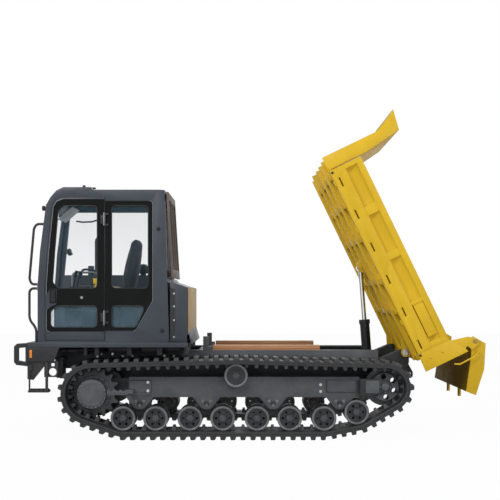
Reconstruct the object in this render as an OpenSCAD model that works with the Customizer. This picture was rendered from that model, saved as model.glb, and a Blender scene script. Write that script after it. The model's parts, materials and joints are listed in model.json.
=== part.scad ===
// Rubber-tracked dump carrier with a side cab and a rear-tipping bed.
// Millimetres. X points to the rear, Y to the right-hand side, Z up, ground at Z = 0.

/* [Tracks] */
// width over both belts
track_w = 2200; // [2100:10:2300]
// width of one belt
belt_w = 500; // [470:5:540]
// thickness of the belt carcass
belt_t = 45; // [38:1:50]
// height of the ground lugs
lug_h = 35; // [25:1:42]
// spacing of the ground lugs
lug_pitch = 100; // [90:1:115]
// height of the guide horns inside the belt
horn_h = 45; // [35:1:50]
// thickness of one row of guide horns
horn_t = 30; // [22:1:32]
// free gap between the two rows of horns
horn_gap = 68; // [62:1:74]
// radius of the road rollers
roller_r = 126; // [118:1:132]
// first bogie centre along the machine
bogie_x = -1130; // [-1160:5:-1100]
// distance from one bogie to the next
bogie_pitch = 678; // [650:2:700]
// half the distance between the two axles of a bogie
axle_half = 165; // [155:1:172]
// rise of the last road roller
tail_lift = 63; // [40:1:75]
// height of the bogie pivots
pivot_z = 350; // [340:1:360]
// reach from the first roller to the sprocket
sprocket_reach = 305; // [290:1:330]
// height of the sprocket axle
sprocket_z = 460; // [445:1:480]
// inside radius of the belt at the sprocket
sprocket_r = 263; // [250:1:270]
// number of sprocket teeth
sprocket_teeth = 16; // [14:1:18]
// radius of the drive hub cover
drive_cover_r = 145; // [130:1:150]
// reach from the last roller to the idler
idler_reach = 290; // [275:1:310]
// height of the idler axle
idler_z = 523; // [505:1:540]
// radius of the idler
idler_r = 197; // [190:1:205]
// carrier roller along the machine
carrier_x = -151; // [-200:1:-100]
// height of the carrier roller axle
carrier_z = 640; // [630:1:655]
// radius of the carrier roller
carrier_r = 120; // [112:1:126]

/* [Frame] */
// height of the rail tops
rail_top = 878; // [872:1:890]
// width of one main rail
rail_w = 110; // [90:1:130]
// depth of the main rails
rail_h = 190; // [160:1:220]
// front end of the rails
rail_front_x = -2050; // [-2100:5:-2000]
// rear end of the rails
rail_rear_x = 1333; // [1320:1:1345]
// height of the bed rest sills
sill_h = 54; // [45:1:60]
// width of the bed rest sills
sill_w = 70; // [55:1:75]
// top of the platform
platform_z = 976; // [965:1:990]
// thickness of the platform edge
platform_t = 51; // [45:1:60]
// width of the platform
platform_w = 2000; // [1960:10:2060]
// front edge of the platform
platform_front_x = -2261; // [-2280:1:-2250]
// rear edge of the platform
platform_rear_x = -640; // [-650:1:-630]
// reach of the front guard loops
guard_reach = 134; // [120:1:150]

/* [Cab] */
// outside width of the cab
cab_w = 1050; // [1000:5:1080]
// left face of the cab
cab_left_y = -950; // [-970:1:-930]
// length of the cab at the floor
cab_l = 1335; // [1310:5:1360]
// front of the cab at the floor
cab_front_x = -2164; // [-2180:1:-2150]
// height of the cab
cab_h = 1574; // [1540:2:1600]
// wall thickness of the cab
cab_wall = 40; // [34:1:48]
// thickness of the glass
glass_t = 6; // [4:1:8]
// width of the door
door_w = 604; // [590:1:620]
// thickness of the door
door_t = 36; // [30:1:40]
// gap round the door
door_gap = 4; // [3:1:6]
// height of the sills of the upper windows above the floor
window_sill = 540; // [520:1:560]
// depth of the top edge of the upper windows below the roof
window_top = 182; // [170:1:200]
// top of the lower windows above the floor
low_window_top = 378; // [360:1:390]
// bottom of the lower windows above the floor
low_window_base = 144; // [130:1:155]
// width of the seat
seat_w = 480; // [440:5:500]
// length of the seat cushion
seat_l = 400; // [380:5:430]
// thickness of the seat cushion
seat_t = 120; // [100:1:130]
// height of the backrest
backrest_h = 550; // [520:5:570]
// length of the control levers
lever_l = 190; // [150:1:200]

/* [Machinery] */
// width of the engine hood
hood_w = 860; // [820:5:880]
// height of the engine hood
hood_h = 664; // [640:2:690]
// length of the engine hood
hood_l = 1290; // [1260:5:1300]
// wall of the engine hood
hood_wall = 12; // [8:1:16]
// length of the access door in the hood
access_l = 700; // [650:5:740]
// height of the access door in the hood
access_h = 460; // [430:5:480]
// depth of the tank housing
tank_l = 172; // [160:1:176]
// height of the tank housing
tank_h = 560; // [540:2:580]
// diameter of the air cleaner dome
cleaner_d = 130; // [110:1:150]

/* [Bed] */
// bed hinge along the machine
hinge_x = 1622; // [1612:1:1632]
// height of the bed hinge
hinge_z = 857; // [852:1:866]
// tilt of the raised bed
bed_tilt = 64.2; // [60:0.1:66]
// outside width of the bed
bed_w = 1900; // [1860:5:1930]
// length of the floor in front of the hinge
bed_l = 2030; // [1990:5:2050]
// top of the side walls above the hinge
wall_top = 413; // [390:1:430]
// underside of the floor above the hinge
floor_q = 78; // [76:0.5:84]
// thickness of the bed sheets
sheet_t = 8; // [6:0.5:10]
// depth of the side wall channel
channel_d = 42; // [32:1:48]
// height of the rear posts above the hinge
post_top = 593; // [580:1:600]
// height of the headboard flare above the hinge
head_top = 932; // [900:2:940]
// distance from the outer face of the rails to the middle of the hinge ears
ear_inset = 35; // [30:1:40]
// radius of the hinge pins
hinge_pin_r = 25; // [20:1:30]
// tailgate pivot height above the hinge
gate_q = 647; // [640:1:655]
// hanging length of the tailgate
gate_l = 551; // [540:1:556]
// spacing of the two studs under the tailgate
stud_span = 634; // [600:2:660]
// radius of the latch rods
latch_r = 8; // [6:0.5:10]

/* [Hoist] */
// eye of the rod along the bed
eye_p = 990; // [980:1:1000]
// outside diameter of the hoist barrel
barrel_d = 104; // [96:1:110]
// diameter of the hoist rod
rod_d = 50; // [44:1:56]
// barrel foot along the machine
foot_x = 1296; // [1290:1:1302]
// height of the barrel foot
foot_z = 600; // [595:1:606]
// barrel from its foot to the gland
barrel_l = 588; // [575:1:596]

/* [Clearances] */
// running gap round axles and pins
run_gap = 0.3; // [0.2:0.05:0.5]
// gap between belt and wheels
belt_gap = 0.9; // [0.8:0.05:0.95]
// gap round glass and fitted panels
fit_gap = 0.5; // [0.4:0.1:0.8]

/* [Hidden] */
$fn = 64;
eps = 0.01;
belt_y = track_w / 2 - belt_w / 2;
belt_in_y = track_w / 2 - belt_w;
run_z = lug_h + belt_t;
roller_z = run_z + belt_gap + roller_r;
function axle_x(i) = bogie_x + floor(i / 2) * bogie_pitch + (i % 2 == 0 ? -axle_half : axle_half);
function axle_z(i) = i == 7 ? roller_z + tail_lift : roller_z;
sprocket_x = axle_x(0) - sprocket_reach;
idler_x = axle_x(7) + idler_reach;
wheel_in = horn_gap / 2 + horn_t + 8;
wheel_out = wheel_in + 58;
frame_half = wheel_in - 3;
frame_front_x = axle_x(0) + 55;
frame_rear_x = axle_x(7) + 35;
frame_low = pivot_z + 66;
frame_top = frame_low + 207;
axle_r = 22;
pin_r = 28;
hub_cap = 10;
idler_axle_r = 32;
spindle_r = 70;
drive_half = horn_gap / 2 - 7;
cover_out = belt_w / 2 - 15;

// the belt runs round these circles, counted anticlockwise as seen from the left
loop = [
    [axle_x(0), axle_z(0), roller_r + belt_gap],
    [axle_x(6), axle_z(6), roller_r + belt_gap],
    [axle_x(7), axle_z(7), roller_r + belt_gap],
    [idler_x, idler_z, idler_r + belt_gap],
    [carrier_x, carrier_z, carrier_r + belt_gap],
    [sprocket_x, sprocket_z, sprocket_r]
];
loop_n = len(loop);
function wrap(i) = (i + loop_n) % loop_n;
function span_of(i) = [loop[wrap(i + 1)][0] - loop[wrap(i)][0], loop[wrap(i + 1)][1] - loop[wrap(i)][1]];
function out_angle(i) = atan2(span_of(i)[1], span_of(i)[0])
    - acos((loop[wrap(i)][2] - loop[wrap(i + 1)][2]) / norm(span_of(i)));
function positive(a) = a < 0 ? positive(a + 360) : (a >= 360 ? positive(a - 360) : a);
angles = [for (i = [0 : loop_n - 1]) out_angle(i)];
turns = [for (i = [0 : loop_n - 1]) positive(angles[i] - angles[wrap(i - 1)])];
arcs = [for (i = [0 : loop_n - 1]) turns[i] * PI / 180 * loop[i][2]];
runs = [for (i = [0 : loop_n - 1]) sqrt(pow(norm(span_of(i)), 2) - pow(loop[i][2] - loop[wrap(i + 1)][2], 2))];
function start_of(i) = i == 0 ? 0 : start_of(i - 1) + arcs[i - 1] + runs[i - 1];
starts = [for (i = [0 : loop_n]) start_of(i)];
loop_len = starts[loop_n];
link_n = round(loop_len / lug_pitch);
link_l = loop_len / link_n;
function leg_at(s) = max([for (k = [0 : loop_n - 1]) starts[k] <= s + 1e-6 ? k : 0]);
function on_loop(s, off) =
    let (
        k = leg_at(s),
        t = s - starts[k],
        c = loop[k],
        bend = t < arcs[k],
        a = bend ? angles[wrap(k - 1)] + t / c[2] * 180 / PI : angles[k],
        go = bend ? 0 : t - arcs[k]
    )
    [c[0] + (c[2] + off) * cos(a) - go * sin(a), c[1] + (c[2] + off) * sin(a) + go * cos(a)];
function link_at(i, f, off) = on_loop((i + f) * link_l, off);
arc_step = 13;
inner_line = [
    for (k = [0 : loop_n - 1])
        let (n = ceil(arcs[k] / arc_step) + 1)
        for (j = [0 : n]) on_loop(starts[k] + arcs[k] * min(j / n, 0.999999), 0)
];
lug_steps = [[0, 0], [0.27, 0], [0.34, 1], [0.66, 1], [0.73, 0]];
outer_line = [for (i = [0 : link_n - 1]) for (q = lug_steps) link_at(i, q[0], belt_t + q[1] * lug_h)];
strip_t = 4;
horn_steps = [[0, 0], [0.28, 0], [0.37, 1], [0.63, 1], [0.72, 0]];
horn_line = [for (i = [0 : link_n - 1]) for (q = horn_steps) link_at(i, q[0], q[1] == 1 ? -horn_h : -strip_t)];

rail_out_y = belt_in_y - 10;
rail_in_y = rail_out_y - rail_w;
deep_z = 560;
rail_t = 14;
cross_z0 = frame_low + 14;
platform_base = platform_z - platform_t;
sill_top = rail_top + sill_h;

cab_right_y = cab_left_y + cab_w;
cab_mid_y = (cab_left_y + cab_right_y) / 2;
cab_rear_x = cab_front_x + cab_l;
cab_roof_z = platform_z + cab_h;
brow_h = cab_h - 182;
// front face of the cab at the height z above the floor
function front_at(h) = cab_front_x + (h < 584 ? 0 : h < 924 ? (h - 584) * 0.0706 : 24 + (h - 924) * 0.1292);
function rear_at(h) = cab_rear_x - h * 0.0305;
function cab_outline(d) = [
    [front_at(0) + d, platform_z],
    [rear_at(0) - d, platform_z],
    [rear_at(cab_h - 30) - d, cab_roof_z - 30 - d],
    [rear_at(cab_h - 30) - 60 - d, cab_roof_z - 26 - d],
    [cab_front_x + 560, cab_roof_z - 26 - d],
    [cab_front_x + 540, cab_roof_z - d],
    [cab_front_x + 262, cab_roof_z - d],
    [cab_front_x + 190 + d * 0.5, cab_roof_z - 34 - d * 0.8],
    [cab_front_x + 132 + d * 0.8, cab_roof_z - 100 - d * 0.5],
    [front_at(brow_h) + d, platform_z + brow_h],
    [front_at(924) + d, platform_z + 924],
    [front_at(584) + d, platform_z + 584]
];
door_rear_x = cab_front_x + 681;
door_front_x = door_rear_x - door_w;
door_pin_x = door_rear_x + door_gap / 2;
door_pin_y = cab_left_y - 18;
door_pin_r = 8;
hinge_h = [190, cab_h - 394];
hinge_l = 130;
lug_t = 20;
handle_x = door_front_x + 50;
handle_w = 60;
handle_z = platform_z + 400;
handle_l = 138;
door_base = platform_z + 16;
door_top = cab_roof_z - 108;
function door_outline(g) = [
    [door_front_x - g, door_base - g],
    [door_rear_x + g, door_base - g],
    [door_rear_x + g, door_top + g],
    [door_front_x + 170, door_top + g],
    [door_front_x + 110 - g * 0.7, door_top - 26 + g * 0.7],
    [door_front_x + 72 - g, door_top - 84 + g * 0.5],
    [door_front_x + 24 - g, platform_z + 924],
    [door_front_x - g, platform_z + 584]
];
function door_pane(g) = [
    [door_front_x + 70 + g, platform_z + window_sill + 60],
    [door_front_x + 130, platform_z + window_sill + g],
    [door_rear_x - 68 - g, platform_z + window_sill + g],
    [door_rear_x - 68 - g, cab_roof_z - window_top - g],
    [door_front_x + 190, cab_roof_z - window_top - g],
    [door_front_x + 126 + g, cab_roof_z - window_top - 60],
    [door_front_x + 92 + g, platform_z + 924]
];
function door_low_pane(g) = [
    [door_front_x + 50 + g, platform_z + low_window_base + g],
    [door_rear_x - 68 - g, platform_z + low_window_base + g],
    [door_rear_x - 68 - g, platform_z + low_window_top - g],
    [door_front_x + 130, platform_z + low_window_top - g],
    [door_front_x + 50 + g, platform_z + low_window_top - 60]
];
side_x0 = door_rear_x + 64;
side_x1 = cab_rear_x - 205;
function side_pane(g) = [
    [side_x0 + g, platform_z + window_sill + g],
    [side_x1 - g, platform_z + window_sill + g],
    [side_x1 - g, cab_roof_z - window_top - g],
    [side_x0 + g, cab_roof_z - window_top - g]
];
function side_low_pane(g) = [
    [side_x0 + g, platform_z + low_window_base + g],
    [side_x1 - 125 - g, platform_z + low_window_base + g],
    [side_x1 - 20 - g, platform_z + low_window_top - g],
    [side_x0 + g, platform_z + low_window_top - g]
];
function far_pane(g) = [
    [cab_front_x + 98 + g, platform_z + 700 + g],
    [side_x1 - g, platform_z + 700 + g],
    [side_x1 - g, cab_roof_z - window_top - g],
    [cab_front_x + 164 + g, cab_roof_z - window_top - g]
];
front_glass_y0 = cab_left_y + 75;
front_glass_y1 = cab_right_y - 75;
front_low_h0 = 110;
front_low_h1 = 400;
front_up_h0 = 440;
front_up_h1 = cab_h - 214;
rear_up_h0 = 660;
rear_up_h1 = cab_h - 124;
seat_z = platform_z + 454;
seat_x = cab_rear_x - 530;
recline_x = seat_x + 45;
recline_z = seat_z + 45;
recline_r = 9;
console_x = cab_front_x + 210;
lever_z = platform_z + 545;

hood_y0 = cab_right_y + 30;
hood_y1 = hood_y0 + hood_w;
hood_x0 = cab_front_x + 30;
hood_x1 = hood_x0 + hood_l;
hood_z = platform_z + hood_h;
access_x1 = hood_x1 - 170;
access_x0 = access_x1 - access_l;
access_z0 = platform_z + 90;
tank_x0 = cab_rear_x + 8;
tank_x1 = tank_x0 + tank_l;
tank_y0 = cab_left_y - 10;
tank_y1 = hood_y1 - 220;

bed_half = bed_w / 2;
skin_y = bed_half - channel_d;
head_front = bed_l + 160;
head_rear = bed_l + 15;
gate_p = -168;
post_in = bed_half - 18;
gate_half = post_in - 6;
ear_y = rail_out_y - ear_inset;
ear_t = 40;
lash_z = hinge_z - 235;
eye_q = 18;
sill_clear = rail_in_y - 10;
foot_r = 30;
foot_seat_z = foot_z - 42;
foot_gap = 2;
// the foot swings this far out of its seat between the two ends of the lift
foot_dx = 60;
foot_dz = 50;
cb = cos(bed_tilt);
sb = sin(bed_tilt);
function bed_xz(p, q) = [hinge_x - p * cb + q * sb, hinge_z + p * sb + q * cb];
eye = bed_xz(eye_p, eye_q);
gate_axis = bed_xz(gate_p, gate_q);
hoist_l = norm([eye[0] - foot_x, eye[1] - foot_z]);
hoist_lean = atan2(eye[0] - foot_x, eye[1] - foot_z);
hoist_low = norm([hinge_x - eye_p - foot_x, hinge_z + eye_q - foot_z]);
piston_z = 63 + hoist_l - hoist_low;
latch_axis = [gate_axis[0] + 24, gate_axis[1] - 107];
gate_k = gate_l / 551;
gate_side = [
    [gate_axis[0] - 24, gate_axis[1] + 50],
    [gate_axis[0] + 108, gate_axis[1] - 24],
    [gate_axis[0] + 93, gate_axis[1] - 287 * gate_k],
    [gate_axis[0] + 8, gate_axis[1] - gate_l],
    [gate_axis[0] - 92, gate_axis[1] - 512 * gate_k],
    [gate_axis[0] - 39, gate_axis[1] - 156 * gate_k]
];
gate_skin = [
    [gate_axis[0] - 39, gate_axis[1] - 60],
    [gate_axis[0] - 39, gate_axis[1] - 156 * gate_k],
    [gate_axis[0] - 92, gate_axis[1] - 512 * gate_k],
    [gate_axis[0] + 8, gate_axis[1] - gate_l],
    [gate_axis[0] + 9, gate_axis[1] - gate_l + 12],
    [gate_axis[0] - 80, gate_axis[1] - 512 * gate_k + 9],
    [gate_axis[0] - 27, gate_axis[1] - 156 * gate_k],
    [gate_axis[0] - 27, gate_axis[1] - 60]
];

// flat sheet with its outline in X and Z, between two Y planes
module sheet_y(outline, y0, y1) {
    translate([0, y1, 0])
    rotate([90, 0, 0])
    linear_extrude(height = y1 - y0)
    polygon(outline);
}

module box(x0, x1, y0, y1, z0, z1) {
    translate([x0, y0, z0])
    cube([x1 - x0, y1 - y0, z1 - z0]);
}

module bar_y(r, x, z, y0, y1) {
    translate([x, y1, z])
    rotate([90, 0, 0])
    cylinder(r = r, h = y1 - y0);
}

module bar_z(r, x, y, z0, z1) {
    translate([x, y, z0])
    cylinder(r = r, h = z1 - z0);
}

// round bar between two points
module rod(a, b, r) {
    d = b - a;
    l = norm(d);
    translate(a)
    rotate([0, acos(d[2] / l), atan2(d[1], d[0])])
    cylinder(r = r, h = l);
}

// bent round bar through a row of points
module bent_bar(points, r) {
    for (i = [0 : len(points) - 2]) rod(points[i], points[i + 1], r);
    for (i = [1 : len(points) - 2]) translate(points[i]) sphere(r = r * 1.12);
}

// right-hand side as drawn, left-hand side mirrored
module on_side(side) {
    if (side < 0) mirror([0, 1, 0]) children();
    else children();
}

// drawn in bed coordinates: x forward, y across, z up from the hinge
module on_bed() {
    translate([hinge_x, 0, hinge_z])
    rotate([0, bed_tilt, 0])
    mirror([1, 0, 0])
    children();
}

// endless band between an outer and an inner line
module band_y(outer, inner, y0, y1) {
    n = len(outer);
    translate([0, y1, 0])
    rotate([90, 0, 0])
    linear_extrude(height = y1 - y0)
    polygon(
        points = concat(outer, inner),
        paths = [[for (i = [0 : n - 1]) i], [for (i = [0 : len(inner) - 1]) n + i]]
    );
}

module track_belt(side) {
    on_side(side)
    color("dimgray")
    band_y(outer_line, inner_line, belt_y - belt_w / 2, belt_y + belt_w / 2);
}

module horn_row(y0) {
    band_y(inner_line, horn_line, y0, y0 + horn_t);
}

module guide_horns() {
    color("slategray")
    for (side = [-1, 1]) on_side(side) {
        horn_row(belt_y + horn_gap / 2);
        horn_row(belt_y - horn_gap / 2 - horn_t);
    }
}

// road wheel pair on one axle: rim, dished web, hub with a closed cap, six holes
module wheel_pair(side, x, z, r) {
    on_side(side)
    color("gray")
    for (m = [-1, 1])
        translate([x, belt_y, z])
        rotate([m * -90, 0, 0])
        difference() {
            rotate_extrude()
            polygon([
                [axle_r + run_gap, wheel_in], [r, wheel_in], [r, wheel_out],
                [r - 20, wheel_out], [r - 28, wheel_out - 20], [46, wheel_out - 20],
                [42, wheel_out], [28, wheel_out], [24, wheel_out + 6], [0, wheel_out + 6],
                [0, wheel_out - hub_cap], [axle_r + run_gap, wheel_out - hub_cap]
            ]);
            for (k = [0 : 5])
                rotate([0, 0, k * 60])
                translate([67, 0, wheel_in - 1])
                cylinder(r = 13, h = 60);
        }
}

module road_roller(side, i) {
    wheel_pair(side, axle_x(i), axle_z(i), roller_r);
}

module carrier_roller(side) {
    wheel_pair(side, carrier_x, carrier_z, carrier_r);
}

module bogie_arms() {
    color("darkslategray")
    for (side = [-1, 1], b = [0 : 3]) on_side(side) {
        xl = axle_x(2 * b);
        xr = axle_x(2 * b + 1);
        zl = axle_z(2 * b);
        zr = axle_z(2 * b + 1);
        xb = (xl + xr) / 2;
        union() {
            sheet_y([
                [xl - 44, zl - 26], [xl - 24, zl - 44], [xl + 30, zl - 44],
                [xb, (zl + zr) / 2 + 20],
                [xr - 30, zr - 44], [xr + 24, zr - 44], [xr + 44, zr - 26],
                [xr + 36, zr + 36], [xb + 62, pivot_z + 40], [xb - 62, pivot_z + 40], [xl - 36, zl + 36]
            ], belt_y - 30, belt_y + 30);
            bar_y(axle_r, xl, zl, belt_y - wheel_out + hub_cap + 1, belt_y + wheel_out - hub_cap - 1);
            bar_y(axle_r, xr, zr, belt_y - wheel_out + hub_cap + 1, belt_y + wheel_out - hub_cap - 1);
            bar_y(pin_r, xb, pivot_z, belt_y - frame_half + 2, belt_y + frame_half - 2);
        }
    }
}

module pivot_bracket(xb, y0) {
    difference() {
        sheet_y([
            [xb - 150, frame_low + 10], [xb - 52, pivot_z - 46], [xb - 22, pivot_z - 58],
            [xb + 22, pivot_z - 58], [xb + 52, pivot_z - 46], [xb + 150, frame_low + 10]
        ], y0, y0 + 18);
        bar_y(pin_r + run_gap, xb, pivot_z, y0 - 1, y0 + 19);
    }
}

module track_frame(side) {
    on_side(side)
    color("dimgray")
    union() {
        difference() {
            box(frame_front_x, frame_rear_x, belt_y - frame_half, belt_y + frame_half, frame_low, frame_top);
            box(frame_front_x + 20, frame_rear_x - 20, belt_y - frame_half + 18, belt_y + frame_half - 18,
                frame_low - 1, frame_top - 15);
        }
        for (b = [0 : 3], y0 = [belt_y - frame_half, belt_y + frame_half - 18])
            pivot_bracket((axle_x(2 * b) + axle_x(2 * b + 1)) / 2, y0);
        difference() {
            union() {
                box(carrier_x - 55, carrier_x + 55, belt_y - 28, belt_y + 28, frame_top - 5, carrier_z);
                bar_y(46, carrier_x, carrier_z, belt_y - 28, belt_y + 28);
            }
        }
        bar_y(axle_r, carrier_x, carrier_z, belt_y - wheel_out + hub_cap + 1, belt_y + wheel_out - hub_cap - 1);
        difference() {
            union() {
                bar_y(178, sprocket_x, sprocket_z, belt_y - frame_half - 20, belt_y - frame_half);
                sheet_y([
                    [sprocket_x, sprocket_z - 95], [frame_front_x + 240, frame_low + 10],
                    [frame_front_x + 240, frame_top - 10], [sprocket_x, sprocket_z + 130]
                ], belt_y - frame_half - 20, belt_y - frame_half);
            }
            bar_y(95, sprocket_x, sprocket_z, belt_y - frame_half - 21, belt_y - frame_half + 1);
        }
        box(frame_front_x + 10, frame_front_x + 230, belt_y + frame_half, belt_y + frame_half + 6,
            frame_low + 20, frame_top - 40);
        box(frame_rear_x - 330, frame_rear_x - 15, belt_y + frame_half, belt_y + frame_half + 6,
            frame_low + 50, frame_top - 34);
        step_arm();
    }
}

// serrated foot bar reaching forward from the frame beside the drive hub
module step_arm() {
    x1 = frame_front_x + 60;
    x0 = sprocket_x + drive_cover_r + 8;
    y1 = belt_y + belt_w / 2 - 14;
    box(x1 - 60, x1, belt_y + frame_half, y1, sprocket_z + 4, sprocket_z + 44);
    n = 7;
    w = (x1 - 50 - x0) / n;
    sheet_y(concat(
        [[x0, sprocket_z - 8], [x1 - 50, sprocket_z - 8]],
        [for (k = [n - 1 : -1 : 0], e = [1, 0])
            [x0 + (k + (e == 1 ? 0.75 : 0.25)) * w, sprocket_z + (k % 2 == 0 ? 44 : 32)]]
    ), y1 - 14, y1);
}

module drive_motors() {
    color("dimgray")
    for (side = [-1, 1]) on_side(side)
        union() {
            bar_y(135, sprocket_x, sprocket_z, belt_y - frame_half - 70, belt_y - frame_half - 20);
            bar_y(112, sprocket_x, sprocket_z, belt_y - belt_w / 2 + 10, belt_y - frame_half - 70);
            bar_y(spindle_r, sprocket_x, sprocket_z, belt_y - frame_half - 21, belt_y + cover_out - 60);
        }
}

function tooth_ring(n, tip, root) = [
    for (k = [0 : n - 1], e = [[-0.34, 0], [-0.1, 1], [0.1, 1], [0.34, 0]])
        let (a = (k + e[0]) * 360 / n, r = e[1] == 1 ? tip : root)
        [r * cos(a), r * sin(a)]
];

module sprocket(side) {
    on_side(side)
    color("gray")
    difference() {
        union() {
            translate([sprocket_x, belt_y + drive_half, sprocket_z])
            rotate([90, 0, 0])
            linear_extrude(height = 2 * drive_half)
            polygon(tooth_ring(sprocket_teeth, sprocket_r - 2, sprocket_r - 52));
            bar_y(drive_cover_r + 30, sprocket_x, sprocket_z, belt_y, belt_y + drive_half + 18);
            bar_y(drive_cover_r, sprocket_x, sprocket_z, belt_y, belt_y + cover_out - 12);
            bar_y(drive_cover_r - 18, sprocket_x, sprocket_z, belt_y, belt_y + cover_out);
            bar_y(spindle_r + 22, sprocket_x, sprocket_z, belt_y - frame_half + 4, belt_y);
        }
        bar_y(spindle_r + run_gap, sprocket_x, sprocket_z, belt_y - frame_half, belt_y + cover_out - 59);
    }
}

module idler(side) {
    shoulder = idler_r - horn_h - 4;
    on_side(side)
    color("gray")
    translate([idler_x, belt_y, idler_z])
    rotate([-90, 0, 0])
    difference() {
        rotate_extrude()
        polygon([
            [idler_axle_r + run_gap, -wheel_out + 24], [62, -wheel_out + 24], [70, -wheel_out + 40],
            [shoulder - 8, -wheel_out + 40], [shoulder, -wheel_out + 48], [shoulder, -drive_half],
            [idler_r, -drive_half + 4], [idler_r, drive_half - 4],
            [shoulder, drive_half], [shoulder, wheel_out - 48], [shoulder - 8, wheel_out - 40],
            [70, wheel_out - 40], [62, wheel_out - 24], [idler_axle_r + run_gap, wheel_out - 24]
        ]);
        for (k = [0 : 5])
            rotate([0, 0, k * 60 + 22])
            translate([shoulder - 42, 0, -wheel_out])
            cylinder(r = 28, h = 2 * wheel_out);
    }
}

module idler_yokes() {
    arm_y = wheel_out - 22;
    color("darkslategray")
    for (side = [-1, 1]) on_side(side)
        union() {
            box(frame_rear_x, idler_x - idler_r - 12, belt_y - arm_y - 24, belt_y + arm_y + 24,
                idler_z - 62, idler_z + 62);
            for (y0 = [belt_y - arm_y - 24, belt_y + arm_y]) {
                sheet_y([
                    [frame_rear_x, idler_z - 92], [idler_x - 60, idler_z - 80], [idler_x + 20, idler_z - 46],
                    [idler_x + 52, idler_z - 30], [idler_x + 52, idler_z + 30], [idler_x + 20, idler_z + 46],
                    [idler_x - 60, idler_z + 84], [frame_rear_x, idler_z + 84]
                ], y0, y0 + 24);
            }
            bar_y(idler_axle_r, idler_x, idler_z, belt_y - arm_y - 1, belt_y + arm_y + 1);
        }
}

// two welded rails with the bars between them, and the hooks that carry the hoist foot
module main_frame() {
    color("dimgray") {
        for (side = [-1, 1]) on_side(side)
            union() {
                difference() {
                    box(rail_front_x, rail_rear_x, rail_in_y, rail_out_y, rail_top - rail_h, rail_top);
                    box(rail_front_x + 20, rail_rear_x - 20, rail_in_y - 1, rail_out_y - rail_t,
                        rail_top - rail_h + rail_t, rail_top - rail_t);
                }
                difference() {
                    box(-1250, rail_rear_x, rail_in_y + 10, rail_out_y, deep_z, rail_top - rail_h + 1);
                    box(-1230, foot_x - 80, rail_in_y, rail_out_y - rail_t, deep_z + rail_t,
                        rail_top - rail_h - 6);
                }
                for (x = [-1900, -1500, -1100, -720])
                    box(x, x + 80, rail_in_y + 15, rail_out_y - 15, rail_top - 1, platform_base);
                box(-500, -410, rail_out_y - 70, rail_out_y, rail_top - 1, sill_top - 12);
                box(-500, -446, rail_out_y - 70, rail_out_y, sill_top - 13, sill_top + 90);
                box(foot_x - 60, rail_rear_x, rail_in_y + 10, rail_out_y, foot_z - 130, deep_z + 1);
            }
        for (x = [-780, 520])
            difference() {
                box(x, x + 200, -belt_y + frame_half, belt_y - frame_half, cross_z0, deep_z - fit_gap);
                box(x + 14, x + 186, -belt_y + frame_half + 20, belt_y - frame_half - 20, cross_z0 - 1,
                    deep_z - 16);
            }
        for (x = [rail_front_x, -560])
            box(x, x + 100, -rail_in_y + fit_gap, rail_in_y - fit_gap, rail_top - rail_h + 10, rail_top - 10);
        box(-1250, -1150, -rail_in_y - 10 + fit_gap, rail_in_y + 10 - fit_gap, deep_z, deep_z + 120);
        box(foot_x - 60, rail_rear_x, -rail_in_y - 10 + fit_gap, rail_in_y + 10 - fit_gap,
            foot_z - 130, foot_seat_z);
        for (y0 = [-102, 72])
            difference() {
                sheet_y([
                    [foot_x - 58, foot_seat_z + fit_gap], [foot_x + 14, foot_seat_z + fit_gap],
                    [foot_x + 10, foot_z - foot_r - 1], [foot_x, foot_z + 40], [foot_x - 58, foot_z + 40]
                ], y0, y0 + 30);
                bar_y(foot_r + foot_gap, foot_x, foot_z, y0 - 1, y0 + 31);
                box(foot_x - foot_r - foot_gap, foot_x + foot_dx, y0 - 1, y0 + 31, foot_z, foot_z + foot_dz);
            }
    }
}

// bed hinge brackets with their pins and lashing eyes, tied by one bar
module hinge_frame() {
    gap = 4;
    in_y = ear_y - ear_t / 2 - gap - 26;
    color("darkslategray") {
        for (side = [-1, 1]) on_side(side)
            union() {
                for (y0 = [in_y, ear_y + ear_t / 2 + gap])
                    sheet_y([
                        [rail_rear_x, 605], [hinge_x - 30, 640], [hinge_x + 33, hinge_z - 110],
                        [hinge_x + 34, hinge_z + 20],
                        [hinge_x + 20, hinge_z + 40], [hinge_x - 20, hinge_z + 40],
                        [hinge_x - 60, hinge_z + 26],
                        [rail_rear_x, hinge_z - 70]
                    ], y0, y0 + (y0 < ear_y ? 26 : min(20, rail_out_y + 8 - y0)));
                box(rail_rear_x, rail_rear_x + 22, rail_in_y, ear_y + ear_t / 2 + gap + 1, 612, hinge_z - 76);
                bar_y(hinge_pin_r, hinge_x, hinge_z, in_y - 8, ear_y + ear_t / 2 + gap + 12);
                difference() {
                    sheet_y([
                        [hinge_x - 50, 630], [hinge_x + 16, lash_z - 40], [hinge_x + 66, lash_z - 40],
                        [hinge_x + 84, lash_z - 22], [hinge_x + 84, lash_z + 22], [hinge_x + 33, hinge_z - 120],
                        [hinge_x - 10, hinge_z - 120]
                    ], in_y, in_y + 26);
                    bar_y(21, hinge_x + 44, lash_z, in_y - 1, in_y + 27);
                }
            }
        box(1440, 1540, -in_y + fit_gap, in_y - fit_gap, 650, 740);
    }
}

module bed_sills() {
    color("peru")
    for (side = [-1, 1]) on_side(side)
        box(-402, 723, rail_out_y - 4 - sill_w, rail_out_y - 4, rail_top, sill_top);
}

module platform() {
    h = platform_w / 2;
    color("slategray")
    difference() {
        box(platform_front_x, platform_rear_x, -h, h, platform_base, platform_z);
        box(platform_front_x + 40, platform_rear_x - 40, -h + 40, -rail_out_y - 20, platform_base - 1,
            platform_z - 12);
        box(platform_front_x + 40, platform_rear_x - 40, rail_out_y + 20, h - 40, platform_base - 1,
            platform_z - 12);
        box(platform_front_x + 40, platform_rear_x - 40, -rail_in_y + 20, rail_in_y - 20,
            platform_base - 1, platform_z - 12);
    }
}

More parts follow.
